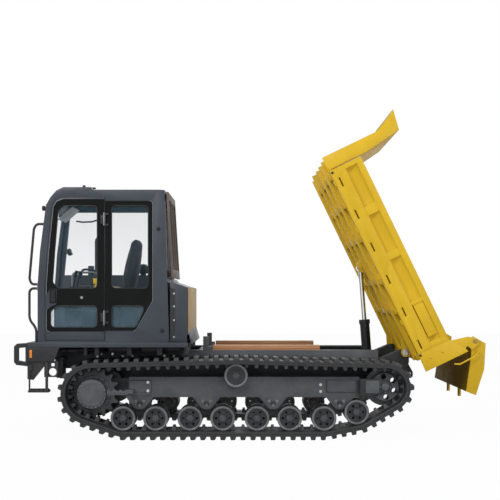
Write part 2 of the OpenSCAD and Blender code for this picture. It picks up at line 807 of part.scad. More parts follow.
// cross beam under the platform nose with side cheeks, tie-down holes and a guard loop on each side
module front_guard() {
    h = platform_w / 2;
    x0 = platform_front_x;
    color("darkslategray")
    difference() {
        union() {
            box(x0, x0 + 30, -h + 20, h - 20, platform_base - 140, platform_base);
            for (side = [-1, 1]) on_side(side) {
                sheet_y([
                    [x0, platform_base - 140], [x0 + 272, platform_base - 140], [x0 + 325, platform_base],
                    [x0, platform_base]
                ], h - 20, h);
                sheet_y([
                    [x0, platform_base - 320], [x0 + 60, platform_base - 330], [x0 + 172, platform_base - 190],
                    [x0 + 172, platform_base - 139], [x0, platform_base - 139]
                ], h - 40, h - 20);
                sheet_y([
                    [x0 + 170, platform_base - 300], [x0 + 310, platform_base - 300],
                    [x0 + 310, platform_base - 139],
                    [x0 + 170, platform_base - 139]
                ], h - 40, h - 20);
                difference() {
                    sheet_y([
                        [x0, platform_base - 190], [x0, platform_base + 45],
                        [x0 - guard_reach + 30, platform_base + 38],
                        [x0 - guard_reach, platform_base + 10], [x0 - guard_reach, platform_base - 150],
                        [x0 - guard_reach + 26, platform_base - 178]
                    ], h - 60, h - 10);
                    sheet_y([
                        [x0 - 18, platform_base - 146], [x0 - 18, platform_base],
                        [x0 - guard_reach + 50, platform_base - 6],
                        [x0 - guard_reach + 44, platform_base - 14],
                        [x0 - guard_reach + 44, platform_base - 132]
                    ], h - 61, h - 9);
                }
            }
        }
        for (side = [-1, 1]) on_side(side) {
            bar_y(39, x0 + 256, platform_base - 248, h - 41, h - 19);
            box(x0 + 240, x0 + 275, h - 41, h - 19, platform_base - 190, platform_base - 160);
        }
    }
}

module front_steps() {
    h = platform_w / 2;
    x0 = platform_front_x + 10;
    x1 = x0 + 205;
    z0 = platform_base - 443;
    color("darkslategray")
    for (side = [-1, 1]) on_side(side)
        union() {
            bent_bar([[x0 + 14, h - 9, platform_base - 180], [x0 + 14, h - 9, z0 + 4]], 9);
            box(x1 - 30, x1 - 4, h - 20, h, z0 + 4, platform_base - 150);
            box(x0, x0 + 40, h - 20, h, platform_base - 230, platform_base - 175);
            difference() {
                box(x0, x1, h - 130, h, z0 - 12, z0 + 10);
                box(x0 + 14, x1 - 14, h - 116, h - 14, z0 - 13, z0 + 11);
            }
            for (k = [1 : 4])
                box(x0 + 2, x1 - 2, h - 14 - k * 23, h - 8 - k * 23, z0 - 10, z0 + 14);
        }
}

// one pair of lugs on the cab pillar with the hinge pin between them
module hinge_lugs(z) {
    for (z0 = [z, z + hinge_l - lug_t]) {
        bar_z(door_pin_r + 5, door_pin_x, door_pin_y, z0, z0 + lug_t);
        box(door_pin_x, door_pin_x + 40, door_pin_y - 8, door_pin_y + 8, z0, z0 + lug_t);
        box(door_pin_x + door_gap, door_pin_x + 40, door_pin_y - 8, cab_left_y + 1, z0, z0 + lug_t);
    }
    bar_z(door_pin_r, door_pin_x, door_pin_y, z, z + hinge_l);
}

module cab_frame() {
    color("slategray")
    difference() {
        union() {
            difference() {
                sheet_y(cab_outline(0), cab_left_y, cab_right_y);
                translate([0, 0, -14])
                sheet_y(cab_outline(cab_wall), cab_left_y + cab_wall, cab_right_y - cab_wall);
            }
            box(cab_front_x + cab_wall - 1, cab_rear_x - cab_wall + 1, cab_left_y + cab_wall - 1,
                cab_right_y - cab_wall + 1,
                platform_z, platform_z + 30);
            for (h = hinge_h)
                hinge_lugs(platform_z + h);
        }
        sheet_y(door_outline(door_gap), cab_left_y - 1, cab_left_y + cab_wall + 1);
        sheet_y(side_pane(0), cab_left_y - 1, cab_left_y + cab_wall + 1);
        sheet_y(side_low_pane(0), cab_left_y - 1, cab_left_y + cab_wall + 1);
        sheet_y(far_pane(0), cab_right_y - cab_wall - 1, cab_right_y + 1);
        box(cab_front_x - 20, front_at(front_up_h1) + cab_wall + 60, front_glass_y0, front_glass_y1,
            platform_z + front_up_h0, platform_z + front_up_h1);
        box(cab_front_x - 20, cab_front_x + cab_wall + 20, front_glass_y0, front_glass_y1,
            platform_z + front_low_h0, platform_z + front_low_h1);
        box(rear_at(rear_up_h1) - cab_wall - 50, cab_rear_x + 20, front_glass_y0, front_glass_y1,
            platform_z + rear_up_h0, platform_z + rear_up_h1);
    }
}

function slab(h0, h1, d) = [
    [front_at(h0) + d, platform_z + h0], [front_at(h0) + d + glass_t, platform_z + h0],
    [front_at(584) + d + glass_t, platform_z + 584], [front_at(924) + d + glass_t, platform_z + 924],
    [front_at(h1) + d + glass_t, platform_z + h1], [front_at(h1) + d, platform_z + h1],
    [front_at(924) + d, platform_z + 924], [front_at(584) + d, platform_z + 584]
];

module cab_windows() {
    g = fit_gap;
    y0 = cab_left_y + 8;
    color("lightsteelblue") {
        sheet_y(side_pane(g), y0, y0 + glass_t);
        sheet_y(side_low_pane(g), y0, y0 + glass_t);
        sheet_y(far_pane(g), cab_right_y - 8 - glass_t, cab_right_y - 8);
        sheet_y(slab(front_up_h0 + g, front_up_h1 - g, 12), front_glass_y0 + g, front_glass_y1 - g);
        box(cab_front_x + 12, cab_front_x + 12 + glass_t, front_glass_y0 + g, front_glass_y1 - g,
            platform_z + front_low_h0 + g, platform_z + front_low_h1 - g);
        sheet_y([
            [rear_at(rear_up_h0) - 14 - glass_t, platform_z + rear_up_h0 + g],
            [rear_at(rear_up_h0) - 14, platform_z + rear_up_h0 + g],
            [rear_at(rear_up_h1) - 14, platform_z + rear_up_h1 - g],
            [rear_at(rear_up_h1) - 14 - glass_t, platform_z + rear_up_h1 - g]
        ], front_glass_y0 + g, front_glass_y1 - g);
    }
}

module door_frame() {
    y0 = cab_left_y - 2;
    color("slategray")
    union() {
        difference() {
            sheet_y(door_outline(0), y0, y0 + door_t);
            sheet_y(door_pane(0), y0 - 1, y0 + door_t + 1);
            sheet_y(door_low_pane(0), y0 - 1, y0 + door_t + 1);
            box(handle_x, handle_x + handle_w, y0 - 1, y0 + 14, handle_z, handle_z + handle_l);
        }
        for (h = hinge_h)
            difference() {
                union() {
                    box(door_rear_x - 40, door_rear_x - 1, door_pin_y - 4, y0 + 1,
                        platform_z + h + lug_t + 1, platform_z + h + hinge_l - lug_t - 1);
                    bar_z(door_pin_r + 6, door_pin_x, door_pin_y,
                        platform_z + h + lug_t + 1, platform_z + h + hinge_l - lug_t - 1);
                }
                bar_z(door_pin_r + run_gap, door_pin_x, door_pin_y, platform_z + h, platform_z + h + hinge_l);
            }
    }
}

module door_glass() {
    g = fit_gap;
    y0 = cab_left_y + 6;
    color("lightsteelblue") {
        sheet_y(door_pane(g), y0, y0 + glass_t);
        sheet_y(door_low_pane(g), y0, y0 + glass_t);
    }
}

module door_handle() {
    y0 = cab_left_y - 2;
    color("black")
    union() {
        box(handle_x + 8, handle_x + handle_w - 8, y0 - 10, y0 + 6, handle_z + 8, handle_z + handle_l - 8);
        bar_z(7, handle_x + handle_w - 14, y0 + 6, handle_z + 0.5, handle_z + handle_l - 0.5);
    }
}

module rear_guard() {
    y0 = cab_left_y + 20;
    y1 = cab_right_y - 20;
    z0 = platform_z + 652;
    z1 = cab_roof_z - 46;
    xt = rear_at(cab_h) + 16;
    xb = rear_at(652) + 42;
    color("saddlebrown")
    difference() {
        union() {
            sheet_y([[xb, z0], [xb + 22, z0], [xt + 22, z1], [xt, z1]], y0, y1);
            for (y = [y0 + 60, y1 - 110]) {
                sheet_y([
                    [rear_at(cab_h - 106) + 0.2, z1 - 60], [xt + 4, z1 - 60], [xt + 4, z1 - 20],
                    [rear_at(cab_h - 66) + 0.2, z1 - 20]
                ], y, y + 50);
                sheet_y([
                    [rear_at(682) + 0.2, z0 + 30], [xb + 4, z0 + 30], [xb + 4, z0 + 70],
                    [rear_at(722) + 0.2, z0 + 70]
                ], y, y + 50);
            }
        }
        for (k = [0 : 2]) {
            w = (y1 - y0 - 160) / 3;
            box(xt - 80, xb + 120, y0 + 40 + k * (w + 40), y0 + 40 + k * (w + 40) + w, z0 + 90, z1 - 80);
        }
    }
}

module hand_rails() {
    yl = cab_left_y + 20;
    r = 13;
    color("black") {
        bent_bar([
            [front_at(1184) - 0.2, yl, platform_z + 1200], [cab_front_x - 10, yl, platform_z + 1200],
            [cab_front_x - 40, yl, platform_z + 1158], [cab_front_x - 86, yl, platform_z + 640],
            [cab_front_x - 62, yl, platform_z + 588], [cab_front_x - 0.2, yl, platform_z + 588]
        ], r);
        bent_bar([
            [cab_front_x - 0.2, yl, platform_z + 546], [cab_front_x - 62, yl, platform_z + 546],
            [cab_front_x - 86, yl, platform_z + 516],
            [cab_front_x - 86, yl, platform_z + 226], [cab_front_x - 16, yl, platform_z + 144],
            [cab_front_x - 16, yl, platform_z + 0.2]
        ], r);
        bent_bar([
            [hood_x0 + 190, hood_y0 + 380, hood_z + 0.2], [hood_x0 + 190, hood_y0 + 380, hood_z + 110],
            [hood_x0 + 350, hood_y0 + 380, hood_z + 110], [hood_x0 + 350, hood_y0 + 380, hood_z + 0.2]
        ], r);
        bent_bar([
            [hood_x0 + 300, hood_y1 - 80, hood_z + 0.2], [hood_x0 + 300, hood_y1 - 80, hood_z + 498],
            [hood_x0 + 460, hood_y1 - 80, hood_z + 498], [hood_x0 + 460, hood_y1 - 80, hood_z + 0.2]
        ], r);
    }
}

module lamps() {
    h = platform_w / 2;
    color("gold") {
        for (side = [-1, 1]) on_side(side)
            box(platform_front_x + 26, platform_front_x + 52, h + 0.2, h + 10, platform_base - 104,
                platform_base - 24);
        for (y = [cab_left_y + 12, cab_right_y - 72])
            union() {
                sheet_y([
                    [front_at(1350) - 14, platform_z + 1346], [front_at(1350) - 0.2, platform_z + 1350],
                    [front_at(1372) - 0.2, platform_z + 1372], [front_at(1372) - 14, platform_z + 1376]
                ], y + 15, y + 45);
                sheet_y([
                    [front_at(1360) - 40, platform_z + 1338], [front_at(1360) - 13, platform_z + 1334],
                    [front_at(1360) - 9, platform_z + 1384], [front_at(1360) - 36, platform_z + 1388]
                ], y, y + 60);
            }
    }
}

module seat_base() {
    color("black")
    union() {
        box(seat_x - seat_l + 40, seat_x - 20, cab_mid_y - seat_w / 2 + 60, cab_mid_y + seat_w / 2 - 60,
            platform_z + 30, seat_z - 60);
        box(seat_x - seat_l + 20, seat_x + 60, cab_mid_y - seat_w / 2 + 30, cab_mid_y + seat_w / 2 - 30,
            seat_z - 60, seat_z - 31);
    }
}

module seat_cushion() {
    color("black")
    union() {
        box(seat_x - seat_l, seat_x, cab_mid_y - seat_w / 2, cab_mid_y + seat_w / 2, seat_z, seat_z + seat_t);
        box(seat_x - seat_l + 30, seat_x + 8, cab_mid_y - seat_w / 2 + 35, cab_mid_y + seat_w / 2 - 35,
            seat_z - 30.5, seat_z + 1);
        for (y0 = [cab_mid_y - seat_w / 2, cab_mid_y + seat_w / 2 - 12])
            sheet_y([
                [seat_x - 60, seat_z + 10], [seat_x + 60, seat_z - 10], [seat_x + 76, seat_z + 60],
                [seat_x + 40, seat_z + 80], [seat_x - 1, seat_z + 50]
            ], y0, y0 + 12);
        bar_y(recline_r, recline_x, recline_z, cab_mid_y - seat_w / 2 + 6, cab_mid_y - seat_w / 2 + 40);
        bar_y(recline_r, recline_x, recline_z, cab_mid_y + seat_w / 2 - 40, cab_mid_y + seat_w / 2 - 6);
    }
}

module seat_back() {
    y0 = cab_mid_y - seat_w / 2;
    y1 = cab_mid_y + seat_w / 2;
    color("black")
    difference() {
        sheet_y([
            [recline_x - 32, recline_z - 36], [recline_x + 56, recline_z - 36],
            [recline_x + 104, recline_z + 150],
            [recline_x + 160, recline_z + backrest_h], [recline_x + 132, recline_z + backrest_h + 40],
            [recline_x + 62, recline_z + backrest_h + 14], [recline_x - 24, recline_z + 190]
        ], y0 + 12 + fit_gap, y1 - 12 - fit_gap);
        bar_y(recline_r + run_gap, recline_x, recline_z, y0, y0 + 41);
        bar_y(recline_r + run_gap, recline_x, recline_z, y1 - 41, y1);
    }
}

module console() {
    color("black")
    union() {
        box(console_x, console_x + 150, cab_mid_y - 200, cab_mid_y + 200, platform_z + 30, lever_z - 30);
        for (y = [cab_mid_y - 120, cab_mid_y + 120], m = [-1, 1])
            box(console_x + 50, console_x + 110, y + m * 24 - 6, y + m * 24 + 6, lever_z - 31, lever_z + 22);
        for (y = [cab_mid_y - 120, cab_mid_y + 120])
            bar_y(8, console_x + 80, lever_z, y - 25, y + 25);
    }
}

module travel_lever(y) {
    color("black")
    difference() {
        union() {
            bar_y(16, console_x + 80, lever_z, y - 17, y + 17);
            rod([console_x + 80, y, lever_z], [console_x + 110, y, lever_z + lever_l - 60], 8);
            rod([console_x + 108, y, lever_z + lever_l - 66], [console_x + 126, y, lever_z + lever_l], 17);
        }
        bar_y(8 + run_gap, console_x + 80, lever_z, y - 18, y + 18);
    }
}

hood_shape = [
    [hood_x0, platform_z], [hood_x1, platform_z], [hood_x1, hood_z - 40], [hood_x1 - 40, hood_z],
    [hood_x0 + 130, hood_z], [hood_x0, hood_z - 150]
];

module engine_hood() {
    w = hood_wall;
    color("slategray")
    difference() {
        sheet_y(hood_shape, hood_y0, hood_y1);
        sheet_y([
            [hood_x0 + w, platform_z - 1], [hood_x1 - w, platform_z - 1], [hood_x1 - w, hood_z - 40 - w],
            [hood_x1 - 40 - w, hood_z - w], [hood_x0 + 130 + w, hood_z - w], [hood_x0 + w, hood_z - 150]
        ], hood_y0 + w, hood_y1 - w);
        box(access_x0 - 3, access_x1 + 3, hood_y1 - w - 1, hood_y1 + 1, access_z0 - 3,
            access_z0 + access_h + 3);
        for (k = [0 : 5])
            box(hood_x0 - 1, hood_x0 + w + 1, hood_y0 + 120, hood_y1 - 120, platform_z + 120 + k * 50,
                platform_z + 142 + k * 50);
    }
}

module access_door() {
    color("slategray")
    union() {
        box(access_x0, access_x1, hood_y1 - hood_wall, hood_y1, access_z0, access_z0 + access_h);
        for (z = [access_z0 + 50, access_z0 + access_h - 130])
            union() {
                box(access_x1 - 30, access_x1, hood_y1 - 1, hood_y1 + 8, z, z + 80);
                bar_z(5 - fit_gap, access_x1, hood_y1 + 4, z, z + 80);
            }
    }
}

module engine() {
    ym = (hood_y0 + hood_y1) / 2;
    xm = (hood_x0 + hood_x1) / 2;
    color("silver")
    union() {
        box(xm - 260, xm + 240, ym - 170, ym + 170, platform_z + 80, platform_z + 440);
        box(xm - 200, xm + 180, ym - 90, ym + 90, platform_z + 439, platform_z + 540);
        for (x = [xm - 220, xm + 160])
            box(x, x + 60, ym - 220, ym + 220, platform_z, platform_z + 81);
        translate([xm + 239, ym, platform_z + 240]) rotate([0, 90, 0]) cylinder(r = 165, h = 90);
        translate([xm + 328, ym, platform_z + 240]) rotate([0, 90, 0]) cylinder(r = 70, h = 120);
        translate([xm - 330, ym, platform_z + 260]) rotate([0, 90, 0]) cylinder(r = 190, h = 30);
        translate([xm - 301, ym, platform_z + 260]) rotate([0, 90, 0]) cylinder(r = 40, h = 60);
        box(xm - 450, xm - 390, ym - 260, ym + 260, platform_z, platform_z + 520);
    }
}

module tank_housing() {
    z1 = platform_z + tank_h;
    color("slategray")
    union() {
        difference() {
            sheet_y([
                [tank_x0, platform_z], [tank_x1, platform_z], [tank_x1, z1], [tank_x0, z1 + 60]
            ], tank_y0, tank_y1);
            sheet_y([
                [tank_x0 + 10, platform_z - 1], [tank_x1 - 10, platform_z - 1], [tank_x1 - 10, z1 - 8],
                [tank_x0 + 10, z1 + 46]
            ], tank_y0 + 10, tank_y1 - 10);
        }
        box(tank_x1 - 1, tank_x1 + 12, tank_y0 + 10, tank_y1 - 10, platform_z + 74, z1);
        sheet_y([
            [tank_x1 + 11, platform_z + 120], [tank_x1 + 11, platform_z + 90], [tank_x1 + 44, platform_z - 30],
            [tank_x1 + 54, platform_z - 20]
        ], tank_y0 + 30, tank_y1 - 30);
    }
}

module air_cleaner() {
    r = cleaner_d / 2;
    color("dimgray")
    translate([hood_x0 + 900, hood_y0 + 380, hood_z])
    rotate_extrude()
    polygon([
        [0, 0.2], [34, 0.2], [34, 60], [r - 6, 66], [r, 76], [r, 120], [r - 8, 146], [r - 26, 166], [0, 175]
    ]);
}

// side wall seen along its length: lower band, channel with a sloping face, top rail
function wall_shape(d) = [
    [bed_half, 65], [bed_half, 221], [bed_half - d, 221], [bed_half - d, 275], [bed_half - 6, 347],
    [bed_half, 347], [bed_half, wall_top], [bed_half - 60, wall_top], [bed_half - 60, wall_top - sheet_t],
    [bed_half - d - sheet_t, wall_top - 40], [bed_half - d - sheet_t, floor_q + 1],
    [bed_half - 90, floor_q + 1],
    [bed_half - 90, 65]
];

module bed_wall() {
    d = channel_d;
    difference() {
        union() {
            rotate([90, 0, 90])
            linear_extrude(height = bed_l + 40)
            polygon(wall_shape(d));
            for (rib = [[0, 65], [475, 40], [989, 80], [1490, 100], [bed_l - 10, 50]])
                translate([rib[0], 0, 0])
                rotate([90, 0, 90])
                linear_extrude(height = rib[1])
                polygon([[bed_half - d - 1, 220], [bed_half, 220], [bed_half, 348], [bed_half - d - 1, 348]]);
        }
        for (k = [0 : 5])
            box(40 + k * 366, 138 + k * 366, bed_half - 10, bed_half + 1, 104, 132);
    }
}

function head_side(q1) = [
    [head_rear - 10, 61], [head_front, 64], [head_front, 688],
    [head_front + 90, q1 - 54], [head_front + 129, q1], [head_rear + 62, q1 - 35], [head_rear + 5, 500],
    [head_rear, 136]
];

module headboard() {
    for (side = [-1, 1]) on_side(side)
        sheet_y(head_side(head_top), bed_half - 90, bed_half - 78);
    sheet_y([
        [head_rear - 2, floor_q], [head_rear + sheet_t, floor_q], [head_rear + 5 + sheet_t, 500],
        [head_rear + 62 + sheet_t, head_top - 35], [head_rear + 62, head_top - 35], [head_rear + 3, 500]
    ], -bed_half + 79, bed_half - 79);
    sheet_y([
        [head_rear + 61, head_top - 35], [head_rear + 68, head_top - 43], [head_front + 129, head_top - 10],
        [head_front + 129, head_top]
    ], -bed_half + 79, bed_half - 79);
    for (y = [-420, 0, 420])
        sheet_y([
            [head_rear + 2, 78], [head_front - 4, 78], [head_front - 4, 688],
            [head_rear + 30, 690], [head_rear + 4, 500]
        ], y - 6, y + 6);
}

module bed_post() {
    notch = [gate_p - 34, gate_q - 106];
    difference() {
        union() {
            sheet_y([
                [-40 - fit_gap, 65], [-229, 60], [-229, post_top - 8], [gate_p - 40, gate_q + 20],
                [gate_p, gate_q + 34],
                [gate_p + 34, gate_q + 14], [-92, post_top], [-52, wall_top], [-40 - fit_gap, wall_top]
            ], post_in, bed_half);
            sheet_y([
                [-40 - fit_gap, 65], [-52, 65], [-52, wall_top - 4], [-40 - fit_gap, wall_top - 4]
            ], bed_half - 60 + fit_gap, post_in + 1);
        }
        bar_y(16 + run_gap, gate_p, gate_q, post_in - 1, bed_half + 1);
        translate([notch[0] + 18, post_in - 1, notch[1]])
        rotate([0, 18, 0])
        translate([-120, 0, -18])
        cube([122, bed_half - post_in + 2, 36]);
    }
}

module bed_ear(side) {
    on_side(side)
    difference() {
        union() {
            sheet_y([
                [-46, 0], [46, 0], [150, floor_q + 1], [-60, floor_q + 1]
            ], ear_y - ear_t / 2, ear_y + ear_t / 2);
            bar_y(46, 0, 0, ear_y - ear_t / 2, ear_y + ear_t / 2);
        }
        bar_y(hinge_pin_r + run_gap, 0, 0, ear_y - ear_t, ear_y + ear_t);
    }
}

module dump_bed() {
    color("goldenrod")
    on_bed() {
        for (side = [-1, 1]) on_side(side) bed_post();
        union() {
            box(-110, head_rear + 4, -bed_half + 60, bed_half - 60, floor_q, floor_q + sheet_t);
            for (side = [-1, 1]) on_side(side) translate([-40, 0, 0]) bed_wall();
            headboard();
            for (side = [-1, 1]) bed_ear(side);
            for (y = [-700, -230, 230, 700])
                box(-100, head_front - 70, y - 30, y + 30, 24, floor_q + 1);
            for (p = [-104, 420, 760, 1240, 1620, 1940]) {
                box(p, p + 60, -sill_clear, sill_clear, 44, floor_q + 1);
                for (side = [-1, 1]) on_side(side)
                    box(p, p + 60, rail_out_y + 20, bed_half - 89, 44, floor_q + 1);
            }
            for (y0 = [-78, 48])
                sheet_y([
                    [eye_p - 110, floor_q + 1], [eye_p - 40, eye_q - 30],
                    [eye_p + 40, eye_q - 30], [eye_p + 110, floor_q + 1]
                ], y0, y0 + 30);
            bar_y(20, eye_p, eye_q, -79, 79);
        }
    }
}

module tailgate() {
    color("goldenrod")
    union() {
        for (side = [-1, 1]) on_side(side) {
            sheet_y(gate_side, gate_half - 14, gate_half);
            bar_y(16, gate_axis[0], gate_axis[1], gate_half - 13, bed_half + 4);
        }
        sheet_y(gate_skin, -gate_half + 13, gate_half - 13);
        for (y = [-gate_half / 2, 0, gate_half / 2])
            sheet_y([
                [gate_axis[0] - 28, gate_axis[1] - 70], [gate_axis[0] + 40, gate_axis[1] - 80],
                [gate_axis[0] + 84, gate_axis[1] - 287 * gate_k],
                [gate_axis[0] + 6, gate_axis[1] - gate_l + 12],
                [gate_axis[0] - 81, gate_axis[1] - 512 * gate_k + 10],
                [gate_axis[0] - 28, gate_axis[1] - 156 * gate_k]
            ], y - 5, y + 5);
        box(gate_axis[0] - 30, gate_axis[0] + 45, -gate_half + 13, gate_half - 13, gate_axis[1] - 72,
            gate_axis[1] - 60);
        for (side = [-1, 1])
            bar_z(18, gate_axis[0] - 42, side * stud_span / 2, gate_axis[1] - gate_l - 62,
                gate_axis[1] - gate_l + 38);
    }
}

// hook rods outside the posts on a pin through the gate sides
module gate_latch() {
    color("dimgray")
    for (side = [-1, 1]) on_side(side) {
        y = bed_half + 14;
        union() {
            bar_y(10, latch_axis[0], latch_axis[1], gate_half + run_gap, y + latch_r);
            bent_bar([
                [latch_axis[0], y, latch_axis[1]], [latch_axis[0] - 39, y, latch_axis[1] - 50],
                [latch_axis[0] - 186, y, latch_axis[1] - 126], [latch_axis[0] - 241, y, latch_axis[1] - 124]
            ], latch_r);
        }
    }
}

// drawn along the line from the foot to the eye
module on_hoist() {
    translate([foot_x, 0, foot_z])
    rotate([0, hoist_lean, 0])
    children();
}

module hoist_rod() {
    color("silver")
    on_hoist()
    difference() {
        union() {
            bar_z(rod_d / 2, 0, 0, piston_z + 1, hoist_l - 30);
            bar_z(barrel_d / 2 - 8, 0, 0, piston_z, piston_z + 28);
            bar_y(42, 0, hoist_l, -46, 46);
        }
        bar_y(20 + run_gap, 0, hoist_l, -47, 47);
    }
}

module hoist_barrel() {
    r = barrel_d / 2;
    color("dimgray")
    on_hoist() {
        difference() {
            union() {
                bar_z(r, 0, 0, 24, barrel_l);
                box(-34, 34, -34, 34, 0, 40);
                bar_y(foot_r + 10, 0, 0, -34, 34);
            }
            bar_z(r - 8 + run_gap, 0, 0, 60, barrel_l - 40);
            bar_z(rod_d / 2 + run_gap, 0, 0, barrel_l - 41, barrel_l + 1);
            bar_y(foot_r + run_gap, 0, 0, -111, 111);
        }
        bar_y(foot_r, 0, 0, -110, 110);
    }
}

main_frame();
track_frame(-1);  // track_frame_left
track_frame(1);  // track_frame_right
bogie_arms();
drive_motors();
idler_yokes();
track_belt(-1);  // track_belt_left
track_belt(1);  // track_belt_right
guide_horns();
sprocket(-1);  // sprocket_left
sprocket(1);  // sprocket_right
idler(-1);  // idler_left
idler(1);  // idler_right
carrier_roller(-1);  // carrier_roller_left
carrier_roller(1);  // carrier_roller_right
road_roller(-1, 0);  // roller_left_1
road_roller(-1, 1);  // roller_left_2
road_roller(-1, 2);  // roller_left_3
road_roller(-1, 3);  // roller_left_4
road_roller(-1, 4);  // roller_left_5
road_roller(-1, 5);  // roller_left_6
road_roller(-1, 6);  // roller_left_7
road_roller(-1, 7);  // roller_left_8
road_roller(1, 0);  // roller_right_1
road_roller(1, 1);  // roller_right_2
road_roller(1, 2);  // roller_right_3
road_roller(1, 3);  // roller_right_4
road_roller(1, 4);  // roller_right_5
road_roller(1, 5);  // roller_right_6
road_roller(1, 6);  // roller_right_7
road_roller(1, 7);  // roller_right_8
hinge_frame();
bed_sills();
platform();
front_guard();
front_steps();
cab_frame();
cab_windows();
door_frame();
door_glass();
door_handle();
rear_guard();
hand_rails();
lamps();
seat_base();
seat_cushion();
seat_back();
console();
travel_lever(cab_mid_y - 120);  // travel_lever_left
travel_lever(cab_mid_y + 120);  // travel_lever_right
engine_hood();
access_door();
engine();
tank_housing();
air_cleaner();
dump_bed();
tailgate();
gate_latch();
hoist_rod();
hoist_barrel();
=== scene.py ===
import json
from math import acos, atan2, copysign, cos, hypot, pi, radians, sin, sqrt, tan
import bpy
import bmesh
from mathutils import Matrix, Vector
from mathutils.geometry import tessellate_polygon

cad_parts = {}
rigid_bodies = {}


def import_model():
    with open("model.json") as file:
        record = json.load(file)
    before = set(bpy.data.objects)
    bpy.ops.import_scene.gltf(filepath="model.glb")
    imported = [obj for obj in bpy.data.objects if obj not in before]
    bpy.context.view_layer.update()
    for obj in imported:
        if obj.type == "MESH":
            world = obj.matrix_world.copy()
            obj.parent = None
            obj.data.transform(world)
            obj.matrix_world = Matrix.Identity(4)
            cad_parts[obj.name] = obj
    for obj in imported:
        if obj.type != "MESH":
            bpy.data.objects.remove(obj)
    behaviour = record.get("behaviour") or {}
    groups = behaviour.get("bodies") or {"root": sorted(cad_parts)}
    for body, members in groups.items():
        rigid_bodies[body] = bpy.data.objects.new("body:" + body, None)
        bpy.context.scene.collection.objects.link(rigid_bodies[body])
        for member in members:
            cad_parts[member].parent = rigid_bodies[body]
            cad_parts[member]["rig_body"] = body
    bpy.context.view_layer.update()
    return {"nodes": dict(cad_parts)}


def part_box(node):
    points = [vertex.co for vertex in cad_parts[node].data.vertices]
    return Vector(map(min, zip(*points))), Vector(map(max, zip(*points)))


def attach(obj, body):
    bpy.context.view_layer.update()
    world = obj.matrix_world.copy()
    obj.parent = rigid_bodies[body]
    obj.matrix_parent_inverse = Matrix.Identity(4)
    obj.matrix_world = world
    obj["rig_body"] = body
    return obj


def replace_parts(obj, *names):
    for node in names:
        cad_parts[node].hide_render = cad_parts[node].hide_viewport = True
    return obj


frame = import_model()
cad = frame["nodes"]
print("frame loaded,", len(cad), "nodes")

scene = bpy.context.scene
scene.view_settings.view_transform = "Standard"
bothSides = (("left", -1, "-Y"), ("right", 1, "+Y"))


def linked(name, data):
    obj = bpy.data.objects.new(name, data)
    scene.collection.objects.link(obj)
    return obj


# camera fitted to the photo, and studio lamps

camera = {"place": (-0.03, -11.9, 1.445), "focal": 1080.0, "image": 500.0, "centre": (248.0, 296.0), "sensor": 36.0}
eye = bpy.data.cameras.new("photoCamera")
eye.sensor_width = camera["sensor"]
eye.lens = camera["focal"] / camera["image"] * camera["sensor"]
eye.shift_x = (camera["image"] / 2 - camera["centre"][0]) / camera["image"]
eye.shift_y = (camera["centre"][1] - camera["image"] / 2) / camera["image"]
eye.clip_end = 200
eyeObject = linked("photoCamera", eye)
eyeObject.location = camera["place"]
eyeObject.rotation_euler = (radians(90), 0, 0)
scene.camera = eyeObject

lamps = {
    "keyLamp": dict(place=(-4.5, -7.0, 7.5), target=(0, 0, 1.2), size=(5, 3.5), power=600),
    "fillLamp": dict(place=(5.5, -6.5, 4.0), target=(0.6, 0, 1.2), size=(4, 4), power=230),
    "backLamp": dict(place=(0.5, 7.0, 6.5), target=(0, 0, 1.5), size=(6, 3), power=240),
}
for name, spec in lamps.items():
    lamp = bpy.data.lights.new(name, "AREA")
    lamp.shape = "RECTANGLE"
    lamp.size, lamp.size_y = spec["size"]
    lamp.energy = spec["power"]
    holder = linked(name, lamp)
    holder.location = spec["place"]
    holder.rotation_euler = (Vector(spec["target"]) - Vector(spec["place"])).to_track_quat("-Z", "Y").to_euler()

# node helpers


def plug(socket, value):
    if isinstance(value, bpy.types.NodeSocket):
        socket.id_data.links.new(value, socket)
    else:
        socket.default_value = value


def feed(node, **inputs):
    for key, value in inputs.items():
        plug(node.inputs[key.replace("_", " ")], value)
    return node


def addNode(nt, kind, settings=None, **inputs):
    n = nt.nodes.new(kind)
    for key, value in (settings or {}).items():
        setattr(n, key, value)
    return feed(n, **inputs)


def stretched(coords, scale):
    return addNode(coords.id_data, "ShaderNodeMapping", Vector=coords, Scale=scale).outputs[0]


def heightOf(coords):
    return addNode(coords.id_data, "ShaderNodeSeparateXYZ", Vector=coords).outputs["Z"]


def noiseAt(coords, scale, detail=4.0, roughness=0.55):
    return addNode(coords.id_data, "ShaderNodeTexNoise", Vector=coords, Scale=scale, Detail=detail,
                   Roughness=roughness).outputs["Fac"]


def scaled(colour, by):
    return tuple(min(1, c * by) for c in colour)


def ramp(value, stops):
    r = addNode(value.id_data, "ShaderNodeValToRGB", Fac=value)
    band = r.color_ramp
    while len(band.elements) < len(stops):
        band.elements.new(0.5)
    for element, (at, colour) in zip(band.elements, stops):
        element.position = at
        element.color = (*colour, 1)
    return r.outputs["Color"]


def toned(value, colour, dark, light, high=0.7):
    return ramp(value, [(0.3, scaled(colour, dark)), (high, scaled(colour, light))])


def spread(value, low, high, outLow=0, outHigh=1.0):
    return addNode(value.id_data, "ShaderNodeMapRange", Value=value, From_Min=low, From_Max=high,
                   To_Min=outLow, To_Max=outHigh).outputs[0]


def mathOf(operation, a, b):
    n = addNode(a.id_data, "ShaderNodeMath", {"operation": operation})
    plug(n.inputs[0], a)
    plug(n.inputs[1], b)
    return n.outputs[0]


def mixColour(factor, a, b):
    n = addNode(factor.id_data, "ShaderNodeMix", {"data_type": "RGBA"})
    for i, v in ((0, factor), (6, a), (7, b)):  # 6 and 7 are the colour sockets
        plug(n.inputs[i], (*v, 1) if isinstance(v, tuple) else v)
    return n.outputs[2]


def times(a, b):
    return mathOf("MULTIPLY", a, b)


